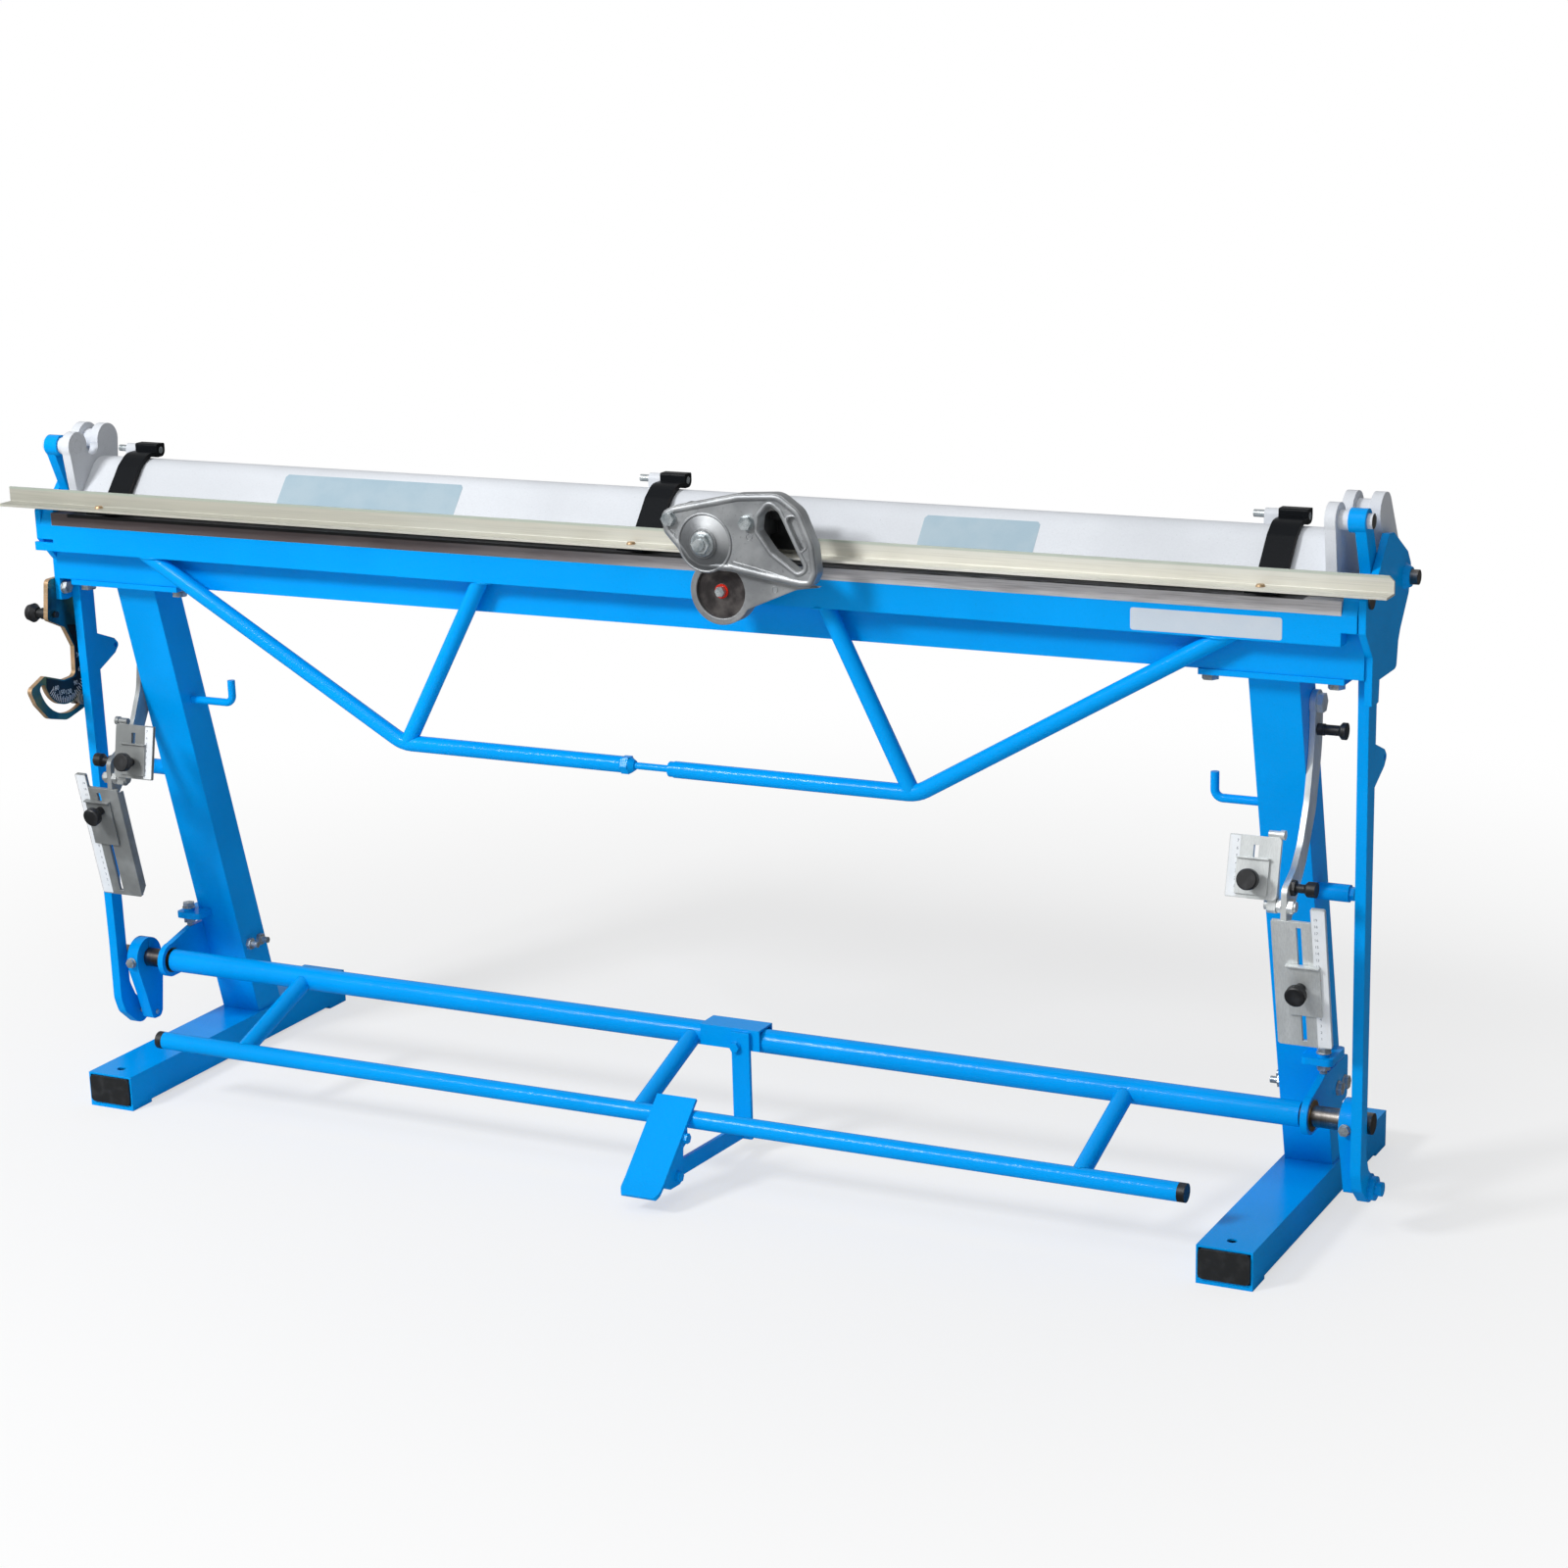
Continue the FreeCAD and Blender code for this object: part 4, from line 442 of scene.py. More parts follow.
# Name of the finish: name of the material, dark, light, roughness, stretch, stain, stain level and
# then metallic, scale and the painted shade toward the left-hand side where they differ
METALS = {
    "steel": ("turned_steel", (92, 88, 85), (176, 172, 167), 0.34, TURNED, (60, 50, 44), 0.55),
    # The zinc's last value sets its painted shade toward the left-hand side
    "zinc": ("zinc_plate", (206, 211, 211), (236, 240, 240), 0.36, UPRIGHT, (176, 184, 190), 0.35,
             0.45, 26.0, 0.44),
    "bolt": ("bolt_zinc", (150, 160, 164), (222, 228, 230), 0.28, EVEN, (132, 142, 150), 0.4, 0.6,
             90.0),
    "brass": ("turned_bronze", (150, 116, 74), (206, 172, 120), 0.34, TURNED, (90, 66, 44), 0.4),
    "jaw": ("jaw_underside", (40, 42, 46), (96, 100, 106), 0.45, ALONG, (150, 150, 148), 0.3, 0.5),
}
# Name of the finish: name of the material, colour, roughness, faded colour
PRINTS = {
    "ruler": ("ruler_face", (232, 236, 240), 0.35, (214, 222, 228)),
    "scale": ("scale_face", (14, 15, 18), 0.4, (30, 32, 38)),
    "grey ink": ("grey_ink", (96, 104, 118), 0.5, (120, 126, 138)),
    "red ink": ("red_ink", (206, 40, 44), 0.5, (190, 60, 60)),
    "white ink": ("white_ink", (232, 234, 232), 0.5, (204, 206, 204)),
    "label": ("label_sheet", (160, 184, 198), 0.42, (176, 194, 204)),
    "panel": ("panel_sheet", (196, 208, 220), 0.4, (206, 214, 222)),
}
FINISHES = {}


def make_finishes(settings):
    """Every finish of the machine, by the name that the pieces ask for."""
    peel = settings.peel
    FINISHES.update({
        "blue": enamel("blue_enamel", settings.blue, 0.15, peel, shade(settings.blue, 1.5), 0.3),
        "white": enamel("white_enamel", settings.white, 0.3, peel * 0.8, srgb(180, 180, 178), 0.45),
        "black": enamel("black_enamel", settings.black, 0.4, peel * 0.7, srgb(112, 90, 72), 0.7),
        "red": enamel("red_washer", srgb(206, 44, 30), 0.35, 0.2 * MM, srgb(150, 60, 50), 0.4),
        "plastic": moulded("moulded_plastic", srgb(28, 29, 31), 0.42, 0.10 * MM, srgb(92, 94, 98)),
        "rubber": moulded("cap_rubber", srgb(30, 32, 34), 0.5, 0.16 * MM, srgb(88, 90, 94)),
        "strip": jaw_strip("jaw_strip"),
        "rail": plated_rail("plated_rail"),
        "casting": cast_alloy("cast_alloy"),
        "wheel": hard_wheel("hard_wheel"),
        "passivated": passivated("passivated_plate", srgb(26, 92, 116), srgb(70, 128, 128),
                                 srgb(160, 158, 110)),
        "edge": cut_edge("cut_edge"),
    })
    for key, (name, dark, light, roughness, stretch, stain_and_shade, *rest) in METALS.items():
        FINISHES[key] = brushed(name, srgb(*dark), srgb(*light), roughness, stretch, srgb(*stain_and_shade),
                                *rest)
    for key, (name, colour, roughness, fade) in PRINTS.items():
        FINISHES[key] = printed(name, srgb(*colour), roughness, srgb(*fade))


SLOT_FINISH = {
    "blue_paint": "blue", "white_paint": "white", "black_paint": "black", "black_plastic": "plastic",
    "black_rubber": "rubber", "bare_steel": "steel", "zinc_plated_steel": "zinc",
    "passivated_steel": "passivated", "cast_aluminium": "casting", "dark_tool_steel": "wheel",
    "bronze": "brass",
}
NODE_FINISH = {
    "leaf_steel_strip": "strip", "shear_rail": "rail", "clamping_blade": "black",
    "stand_bolts": "bolt", "carriage_bolts": "bolt", "rail_screws": "edge", "upper_cutter": "bolt",
    "lower_jaw_bar": "jaw", "carriage_guides": "plastic", "link_pins_and_spacers": "white",
}


# Pieces in mesh code


def islands(mesh):
    """Lists of polygon indices of the solids in a mesh of loose triangles."""
    parent = {}

    def root(key):
        while parent[key] != key:
            parent[key] = parent[parent[key]]
            key = parent[key]
        return key

    keys = [tuple(round(c * 1e6) for c in v.co) for v in mesh.vertices]
    for key in keys:
        parent.setdefault(key, key)
    for polygon in mesh.polygons:
        first = root(keys[polygon.vertices[0]])
        for vertex in polygon.vertices[1:]:
            parent[root(keys[vertex])] = first
    groups = {}
    for polygon in mesh.polygons:
        groups.setdefault(root(keys[polygon.vertices[0]]), []).append(polygon.index)
    return list(groups.values())


def group_box(mesh, group):
    """Lowest and highest corner of some polygons."""
    spots = [mesh.vertices[v].co for p in group for v in mesh.polygons[p].vertices]
    return [[f(s[i] for s in spots) for i in range(3)] for f in (min, max)]


def coat(node, base, solid_rule=None, face_rule=None):
    """Give a CAD node its finish, and other finishes to its solids or faces that a rule picks."""
    mesh = frame["nodes"][node].data
    names = [base]
    picks = {}
    if solid_rule:
        for group in islands(mesh):
            choice = solid_rule(*group_box(mesh, group))
            if choice:
                picks.update({p: choice for p in group})
    if face_rule:
        for polygon in mesh.polygons:
            choice = face_rule(polygon.center, polygon.normal)
            if choice:
                picks[polygon.index] = choice
    for choice in picks.values():
        if choice not in names:
            names.append(choice)
    mesh.materials.clear()
    for name in names:
        mesh.materials.append(FINISHES[name])
    mesh.polygons.foreach_set("material_index",
                              [names.index(picks.get(i, base)) for i in range(len(mesh.polygons))])
    mesh.update()


def longest(low, high):
    """Longest side of a box."""
    return max(high[i] - low[i] for i in range(3))


def smaller(limit, finish):
    """Rule for solids whose longest side is under a limit in millimetres."""
    return lambda low, high: finish if longest(low, high) < limit * MM else None


def lower(limit, finish):
    """Rule for solids that are less high than a limit in millimetres."""
    return lambda low, high: finish if high[2] - low[2] < limit * MM else None


def beyond(limit, finish):
    """Rule for faces that lie further than a limit in metres from the machine's middle."""
    return lambda centre, normal: finish if abs(centre.x) > limit else None


def shaft_end(low, high):
    """Solids that lie on one side of the machine's middle."""
    return "steel" if low[0] * high[0] > 0 else None


def gauge_piece(low, high):
    """Knob of the gauge's pivot and the bolts of its arm."""
    if min(abs(low[0]), abs(high[0])) > 955 * MM:
        return "plastic"
    small = longest(low, high) < 60 * MM and high[2] - low[2] < 30 * MM
    return "bolt" if small else None


def foot_pad(low, high):
    """Pads under the foot tubes."""
    return "blue" if high[2] < 6 * MM else None


def plate_edge(centre, normal):
    """Cut edges of the upright angle plate."""
    return None if abs(normal.x) > 0.9 else "edge"


# Radius and depth behind the front that the nut and the washer of the lower cutter reach
NUT_RADIUS, NUT_DEPTH, WASHER_RADIUS, WASHER_DEPTH = 7.4, 6.4, 10.3, 8.1
UPPER_DISC = 9.0


def wheel_centre(centre, normal):
    """Nut and red washer in the middle of the lower cutter."""
    reach = math.hypot(centre.x - WHEEL_X, centre.z - WHEEL_Z)
    depth = centre.y - WHEEL_BOX[0][1]
    if reach > WASHER_RADIUS * MM or depth > WASHER_DEPTH * MM:
        return None
    return "bolt" if depth < NUT_DEPTH * MM or reach < NUT_RADIUS * MM else "red"


def upper_wheel(centre, normal):
    """Hardened disc at the back of the upper cutter."""
    return "wheel" if centre.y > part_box("upper_cutter")[1][1] - UPPER_DISC * MM else None


SOLID_RULES = {
    "cranks": smaller(46, "bolt"), "pedal_bracket": smaller(46, "bolt"),
    "left_gauge_plates": smaller(46, "bolt"), "right_gauge_plates": smaller(46, "bolt"),
    "left_link": smaller(80, "steel"), "right_link": smaller(80, "steel"),
    "foot_bar": smaller(60, "plastic"), "arm_hinge_bosses": lower(12, "bolt"),
    "left_gauge_arm": gauge_piece, "right_gauge_arm": gauge_piece,
    "torsion_tube": shaft_end, "foot_caps_and_pads": foot_pad,
}
FACE_RULES = {
    "angle_plate": plate_edge, "lower_cutter": wheel_centre, "upper_cutter": upper_wheel,
    "link_pins_and_spacers": beyond(LINK_OUTSIDE, "steel"), "foot_bar": beyond(BAR_HALF, "plastic"),
}


def painted(mesh, finish):
    """A mesh with one finish."""
    mesh.materials.clear()
    mesh.materials.append(FINISHES[finish])
    return mesh


def linked(name, data):
    """New object that shows some data in the scene."""
    thing = bpy.data.objects.new(name, data)
    bpy.context.scene.collection.objects.link(thing)
    return thing


def new_piece(name, mesh, body):
    """Link a painted mesh as a piece on its body."""
    mesh.name = name
    piece = linked(name, mesh)
    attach(piece, body)


def mesh_from(bm, place=None, smooth=False):
    """Mesh of a bmesh, moved to its place."""
    if place is not None:
        bm.transform(place)
    bmesh.ops.recalc_face_normals(bm, faces=bm.faces)
    for face in bm.faces:
        face.smooth = smooth
    mesh = bpy.data.meshes.new("piece")
    bm.to_mesh(mesh)
    bm.free()
    return mesh


def rounded_outline(width, height, radius, steps=5):
    """Corner points of a rectangle with rounded corners, its lower left corner at 0, 0."""
    points = []
    for cx, cy, start in ((width - radius, radius, -90), (width - radius, height - radius, 0),
                          (radius, height - radius, 90), (radius, radius, 180)):
        for i in range(steps + 1):
            turn = math.radians(start + 90 * i / steps)
            points.append((cx + radius * math.cos(turn), cy + radius * math.sin(turn)))
    return points


def slab(bm, outline, low, high):
    """Flat plate of an outline in X and Y between two heights."""
    floor = [bm.verts.new((x, y, low)) for x, y in outline]
    roof = [bm.verts.new((x, y, high)) for x, y in outline]
    bm.faces.new(floor[::-1])
    bm.faces.new(roof)
    count = len(outline)
    for i in range(count):
        j = (i + 1) % count
        bm.faces.new((floor[i], floor[j], roof[j], roof[i]))


def lathe(bm, profile, steps):
    """Closed ring of a profile of (radius, height) round the Z axis."""
    rows = []
    for i in range(steps):
        turn = 2 * math.pi * i / steps
        rows.append([bm.verts.new((r * math.cos(turn), r * math.sin(turn), h)) for r, h in profile])
    count = len(profile)
    for i in range(steps):
        here, after = rows[i], rows[(i + 1) % steps]
        for k in range(count):
            m = (k + 1) % count
            bm.faces.new((here[k], after[k], after[m], here[m]))


def ring_profile(radius, width, height, sunk=0.3 * MM):
    """Section of a low round ring that stands on a face."""
    half = width / 2
    return [(radius - half, -sunk), (radius + half, -sunk), (radius + half * 0.8, height * 0.6),
            (radius + half * 0.3, height), (radius - half * 0.3, height),
            (radius - half * 0.8, height * 0.6)]


# Repeating things with Geometry Nodes


class Grower(Graph):
    """A Geometry Nodes tree with named number inputs and a material."""

    def __init__(self, name, numbers):
        super().__init__(bpy.data.node_groups.new(name, "GeometryNodeTree"))
        face = self.tree.interface
        face.new_socket("Geometry", in_out="INPUT", socket_type="NodeSocketGeometry")
        self.ids = {}
        for label, value in {**numbers, "Finish": None}.items():
            kind = "Material" if value is None else "Int" if isinstance(value, int) else "Float"
            socket = face.new_socket(label, in_out="INPUT", socket_type="NodeSocket" + kind)
            if value is not None:
                socket.default_value = value
            self.ids[label] = socket.identifier
        face.new_socket("Geometry", in_out="OUTPUT", socket_type="NodeSocketGeometry")
        self.source = self.tree.nodes.new("NodeGroupInput")

    def given(self, label):
        """One of the inputs."""
        return Value(self, self.source.outputs[label])

    def finish(self, geometry):
        """Realise what was grown and give it its material."""
        real = self.node("GeometryNodeRealizeInstances", (geometry,))
        coated = self.node("GeometryNodeSetMaterial",
                           {"Geometry": real, "Material": self.given("Finish")})
        self.node("NodeGroupOutput", (coated,))
        return self

    def grow(self, mesh, finish, **values):
        """Plain mesh that the tree makes from a mesh, its values and a finish."""
        carrier = linked("carrier", mesh)
        modifier = carrier.modifiers.new("grow", "NODES")
        modifier.node_group = self.tree
        for label, value in {**values, "Finish": FINISHES[finish]}.items():
            modifier[self.ids[label]] = value
        carrier.update_tag()
        graph = bpy.context.evaluated_depsgraph_get()
        result = bpy.data.meshes.new_from_object(carrier.evaluated_get(graph), depsgraph=graph)
        carrier.modifiers.remove(modifier)
        bpy.data.objects.remove(carrier)
        return result


def tick_grower():
    """Ticks in a row along Y, or fanned round an axis, longer where Long and Middle say."""
    grower = Grower("tick_row", {
        "Count": 10, "Pitch": 1 * MM, "Radius": 0.0, "Turn": 0.0, "Start": 0.0, "Length": 2 * MM,
        "Width": 0.3 * MM, "Depth": 0.1 * MM, "Long": 10, "Middle": 5})
    step = grower.node("GeometryNodeInputIndex")
    line = grower.node("GeometryNodeMeshLine", {"Count": grower.given("Count"),
                                                "Offset": (0.0, 0.0, 0.0)})
    long_one, middle_one = (grower.math("COMPARE", step % grower.given(label), 0.0, 0.1)
                            for label in ("Long", "Middle"))
    length = grower.given("Length") * (long_one * 0.25 + 0.5 + middle_one * 0.25)
    turn = step * grower.given("Turn") + grower.given("Start")
    reach = grower.given("Radius") - length * 0.5
    across = reach * grower.math("COSINE", turn)
    up = reach * grower.math("SINE", turn) + step * grower.given("Pitch")
    grower.finish(grower.node("GeometryNodeInstanceOnPoints", {
        "Points": grower.node("GeometryNodeSetPosition", {
            "Geometry": line, "Position": grower.node("ShaderNodeCombineXYZ", (across, up, 0.0))}),
        "Instance": grower.node("GeometryNodeMeshCube", {"Size": (1.0, 1.0, 1.0)}),
        "Rotation": grower.node("ShaderNodeCombineXYZ", (0.0, 0.0, turn)),
        "Scale": grower.node("ShaderNodeCombineXYZ", (length, grower.given("Width"),
                                                      grower.given("Depth")))}))
    return grower


def bead_grower():
    """Round bead along the edges of a mesh."""
    grower = Grower("bead", {"Radius": 1 * MM})
    curve = grower.node("GeometryNodeMeshToCurve", {"Mesh": grower.given("Geometry")})
    section = grower.node("GeometryNodeCurvePrimitiveCircle",
                          {"Resolution": 10, "Radius": grower.given("Radius")})
    return grower.finish(grower.node("GeometryNodeCurveToMesh", {
        "Curve": curve, "Profile Curve": section, "Fill Caps": True}))


def outline_mesh(points, closed=True):
    """Wire mesh through points."""
    mesh = bpy.data.meshes.new("wire")
    count = len(points)
    edges = [(i, (i + 1) % count) for i in range(count if closed else count - 1)]
    mesh.from_pydata(points, edges, [])
    return mesh


def flat_text(text):
    """Filled mesh of a text of height 1, centred on its place."""
    curve = bpy.data.curves.new("text", "FONT")
    curve.body = text
    curve.align_x = curve.align_y = "CENTER"
    curve.resolution_u = 2
    holder = linked("text", curve)
    graph = bpy.context.evaluated_depsgraph_get()
    mesh = bpy.data.meshes.new_from_object(holder.evaluated_get(graph))
    bpy.data.objects.remove(holder)
    return mesh


def lettering(items, depth, finish):
    """Raised mesh of short texts, each (text, size, place)."""
    bm = bmesh.new()
    for text, size, place in items:
        mesh = flat_text(text)
        flat = bmesh.new()
        flat.from_mesh(mesh)
        bmesh.ops.remove_doubles(flat, verts=flat.verts, dist=1e-5)
        flat.transform(Matrix.Diagonal((size, size, 1.0, 1.0)))
        top = bmesh.ops.extrude_face_region(flat, geom=list(flat.faces))["geom"]
        raised = [g for g in top if isinstance(g, bmesh.types.BMVert)]
        bmesh.ops.translate(flat, verts=raised, vec=(0.0, 0.0, depth))
        flat.transform(place)
        flat.to_mesh(mesh)
        flat.free()
        bm.from_mesh(mesh)
        bpy.data.meshes.remove(mesh)
    return painted(mesh_from(bm), finish)


def joined_mesh(meshes):
    """One mesh of several, which keeps each one's material."""
    bm = bmesh.new()
    materials = []
    for mesh in meshes:
        start = len(bm.faces)
        bm.from_mesh(mesh)
        bm.faces.ensure_lookup_table()
        material = mesh.materials[0]
        if material not in materials:
            materials.append(material)
        for face in bm.faces[start:]:
            face.material_index = materials.index(material)
    result = bpy.data.meshes.new("joined")
    bm.to_mesh(result)
    bm.free()
    for material in materials:
        result.materials.append(material)
    return result


# Scales and labels


def millimetres(x, y, z):
    """Translation by a place in millimetres."""
    return Matrix.Translation((x * MM, y * MM, z * MM))


def rotation(degrees, axis):
    """Rotation round an axis."""
    return Matrix.Rotation(math.radians(degrees), 4, axis)


def polar(radius, degrees):
    """Point at a radius and an angle."""
    return radius * math.cos(math.radians(degrees)), radius * math.sin(math.radians(degrees))


def facing_front(x, y, z):
    """Place on a face that looks at the operator: X stays, Y goes up."""
    return millimetres(x, y, z) @ rotation(90, "X")


# Rulers: distances from the slot to their edges, share of the width that the small ones have
RULER_HIGH = {"big": 207.0, "small": 80.0}
BIG_RIGHT_EDGE, SMALL_LEFT_EDGE, SMALL_SHARE = 36.7, -34.5, 0.78
RULER_FOOT, RULER_THICK, RULER_CORNER = 1.5, 0.16, 1.2
TICK_PITCH, TICK_LONG, TICK_WIDE, TICK_THICK, TICK_REACH = 2.0, 6.0, 0.42, 0.06, 3.2
FIRST_TICK, CENTIMETRE, FIGURE_REACH = 3.0, 10.0, 3.6
FIGURE_SIZE, TEN_SIZE, FIGURE_THICK = 5.6, 7.2, 0.07


def ruler_meshes(side, plate, ticks, settings):
    """Printed ruler strip of one gauge plate with its ticks and numbers, in the plate's slope."""
    lean, face_y, drop, slot_x = GAUGE_PLATES[side, plate]
    sign = 1 if side == "right" else -1
    big = plate == "big"
    wide = settings.ruler_width / MM * (1.0 if big else SMALL_SHARE)
    high = RULER_HIGH[plate]
    left = slot_x + (BIG_RIGHT_EDGE - wide if big else SMALL_LEFT_EDGE)
    if sign < 0:
        left = -left - wide
    place = (millimetres(left, face_y, LEG_TOP - drop) @ rotation(lean, "X")
             @ millimetres(0, 0, RULER_FOOT) @ rotation(90, "X"))
    bm = bmesh.new()
    slab(bm, rounded_outline(wide * MM, high * MM, RULER_CORNER * MM), 0.0, RULER_THICK * MM)
    strip = painted(mesh_from(bm, place), "ruler")
    inward = -1 if (sign > 0) == big else 1
    free_edge = wide if inward < 0 else 0.0
    tick = ticks.grow(outline_mesh([(0, 0, 0)], False), "grey ink",
                      Count=int(high / TICK_PITCH) - 2, Pitch=TICK_PITCH * MM,
                      Length=TICK_LONG * MM, Width=TICK_WIDE * MM, Depth=TICK_THICK * MM,
                      Long=5, Middle=5)
    tick.transform(place @ millimetres(free_edge + inward * TICK_REACH, FIRST_TICK,
                                       RULER_THICK + 0.01))
    plain, tens = [], []
    for number in range(1, int(high / CENTIMETRE)):
        group, size = (plain, FIGURE_SIZE) if number % 10 else (tens, TEN_SIZE)
        spot = place @ millimetres(wide / 2 + inward * FIGURE_REACH, FIRST_TICK + CENTIMETRE * number,
                                   RULER_THICK - 0.01)
        group.append((str(number), size * MM, spot))
    meshes = [strip, tick, lettering(plain, FIGURE_THICK * MM, "grey ink")]
    if tens:
        meshes.append(lettering(tens, FIGURE_THICK * MM, "red ink"))
    return meshes


def add_rulers(settings):
    """Rulers of the four gauge plates."""
    ticks = tick_grower()
    for side, plate in GAUGE_PLATES:
        mesh = joined_mesh(ruler_meshes(side, plate, ticks, settings))
        new_piece(side + "_" + plate + "_ruler", mesh, side + "_gauge")


# Text of the number, its angle and its distance from the scale's centre
DEGREE_NUMBERS = (("180", 221, 35.5), ("150", 248, 35), ("120", 275, 35), ("90", 312, 33.5),
                  ("60", 352, 37), ("30", 27, 39))
SCALE_RADIUS, SCALE_THICK = 51.5, 0.25
SCALE_TICKS, SCALE_STEP, SCALE_START = 29, 5.2, 214.0
SCALE_TOP = [(50, 34), (44, 58), (33, 66), (14, 70), (29.5, 34.5), (26.5, -15), (-5.5, -16.2),
             (-47, -2.5)]


def add_angle_scale():
    """Black scale on the angle plate's inner face with its ticks and plain degree numbers."""
    place = millimetres(ANGLE_FACE, ANGLE_Y, ANGLE_Z) @ rotation(90, "Z") @ rotation(90, "X")
    shape = [polar(SCALE_RADIUS, a) for a in range(200, 381, 6)] + SCALE_TOP
    bm = bmesh.new()
    slab(bm, [(x * MM, y * MM) for x, y in shape], 0.0, SCALE_THICK * MM)
    face = painted(mesh_from(bm, place), "scale")
    ticks = tick_grower().grow(
        outline_mesh([(0, 0, 0)], False), "white ink", Count=SCALE_TICKS, Pitch=0.0,
        Radius=(SCALE_RADIUS - 1) * MM, Turn=math.radians(SCALE_STEP),
        Start=math.radians(SCALE_START), Length=10.5 * MM, Width=1.3 * MM, Depth=0.12 * MM, Long=2,
        Middle=1)
    ticks.transform(place @ millimetres(0, 0, SCALE_THICK + 0.03))
    numbers = [(text, 10.5 * MM, place @ millimetres(*polar(reach, turn), 0.2))
               for text, turn, reach in DEGREE_NUMBERS]
    words = lettering(numbers, 0.15 * MM, "white ink")
    new_piece("angle_scale", joined_mesh([face, ticks, words]), "stand")


def jaw_skin(up, lift):
    """Point of the upper jaw's front: up its slope and then round the tube, in millimetres."""
    lean = math.radians(JAW_LEAN)
    touch = (TUBE_Z + TUBE_RADIUS * math.cos(lean) - SHEET_Z) / math.sin(lean)
    if up <= touch:
        return (JAW_FOOT_Y + up * math.cos(lean) - lift * math.sin(lean),
                SHEET_Z + up * math.sin(lean) + lift * math.cos(lean))
    run = (TUBE_RADIUS + (TUBE_Z - SHEET_Z) * math.cos(lean)) / math.sin(lean)
    angle = math.radians(90) + lean - (up - touch) / TUBE_RADIUS
    return (JAW_FOOT_Y + run + (TUBE_RADIUS + lift) * math.cos(angle),
            TUBE_Z + (TUBE_RADIUS + lift) * math.sin(angle))


def skin_sheet(name, x0, x1, low, high, finish, lifts, corner=4.0, rows=14, columns=10):
    """Thin sheet that follows the upper jaw's front and the tube above it."""
    bm = bmesh.new()
    grid = {}
    for layer, lift in enumerate(lifts):
        for i in range(rows + 1):
            up = low + (high - low) * i / rows
            edge = min(up - low, high - up)
            inset = corner - math.sqrt(max(0.0, corner ** 2 - max(0.0, corner - edge) ** 2))
            for k in range(columns + 1):
                x = x0 + inset + (x1 - x0 - 2 * inset) * k / columns
                y, z = jaw_skin(up, lift)
                grid[layer, i, k] = bm.verts.new((x * MM, y * MM, z * MM))
    for i in range(rows):
        for k in range(columns):
            square = ((i, k), (i, k + 1), (i + 1, k + 1), (i + 1, k))
            bm.faces.new([grid[1, a, b] for a, b in square])
            bm.faces.new([grid[0, a, b] for a, b in reversed(square)])
    rim = [(0, k) for k in range(columns)] + [(i, columns) for i in range(rows)]
    rim += [(rows, k) for k in range(columns, 0, -1)] + [(i, 0) for i in range(rows, 0, -1)]
    for here, after in zip(rim, rim[1:] + rim[:1]):
        bm.faces.new((grid[0, *here], grid[0, *after], grid[1, *after], grid[1, *here]))
    mesh = mesh_from(bm, smooth=True)
    mesh.set_sharp_from_angle(angle=math.radians(40))
    new_piece(name, painted(mesh, finish), "upper_jaw")


# Heights of the lower and the upper face of the sheets over the jaw
SKIN_FACES, LABEL_FACES = (0.05, 0.3), (0.32, 0.6)
# Labels: left and right end, lower and upper edge up the jaw's front
JAW_LABELS = {"left_jaw_label": (-632.0, -324.0, 22.0, 87.0),
              "right_jaw_label": (411.0, 580.0, 22.0, 83.5)}
PANEL_PLACE, PANEL_SIZE, PANEL_THICK = (735.0, -185.0, 856.0), (207.0, 29.5, 3.5), 0.3


def add_labels():
    """Smooth jaw front, bare label sheets on it and the bare panel on the leaf."""
    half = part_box("upper_beam_tube")[1][0] / MM - 0.5
    skin_sheet("jaw_front_skin", -half, half, 14.0, 150.0, "white", SKIN_FACES, 0.01, 60, 40)
    for name, extent in JAW_LABELS.items():
        skin_sheet(name, *extent, "label", LABEL_FACES)
    bm = bmesh.new()
    slab(bm, rounded_outline(*(size * MM for size in PANEL_SIZE)), 0.0, PANEL_THICK * MM)
    mesh = painted(mesh_from(bm, facing_front(*PANEL_PLACE)), "panel")
    new_piece("leaf_panel", mesh, "leaf")


# Casting details and welds


def rounded_path(corners, steps=6):
    """Points round a closed outline whose corners are (x, z, rounding), in millimetres."""
    points = []
    for i, (x, z, radius) in enumerate(corners):
        here = Vector((x, z))
        back = Vector(corners[i - 1][:2]) - here
        ahead = Vector(corners[(i + 1) % len(corners)][:2]) - here
        half = back.angle(ahead) / 2
        reach = min(radius / math.tan(half), 0.49 * back.length, 0.49 * ahead.length)
        start = here + back.normalized() * reach
        end = here + ahead.normalized() * reach
        for k in range(steps + 1):
            t = k / steps
            points.append(start.lerp(here, t).lerp(here.lerp(end, t), t))
    return points


def inset_path(points, distance):
    """A closed path moved inwards."""
    area = sum(a.x * b.y - b.x * a.y for a, b in zip(points, points[1:] + points[:1]))
    sign = 1 if area > 0 else -1
    result = []
    for i, point in enumerate(points):
        way = points[(i + 1) % len(points)] - points[i - 1]
        if way.length > 1e-6:
            way.normalize()
            result.append(point + Vector((-way.y, way.x)) * sign * distance)
    return result


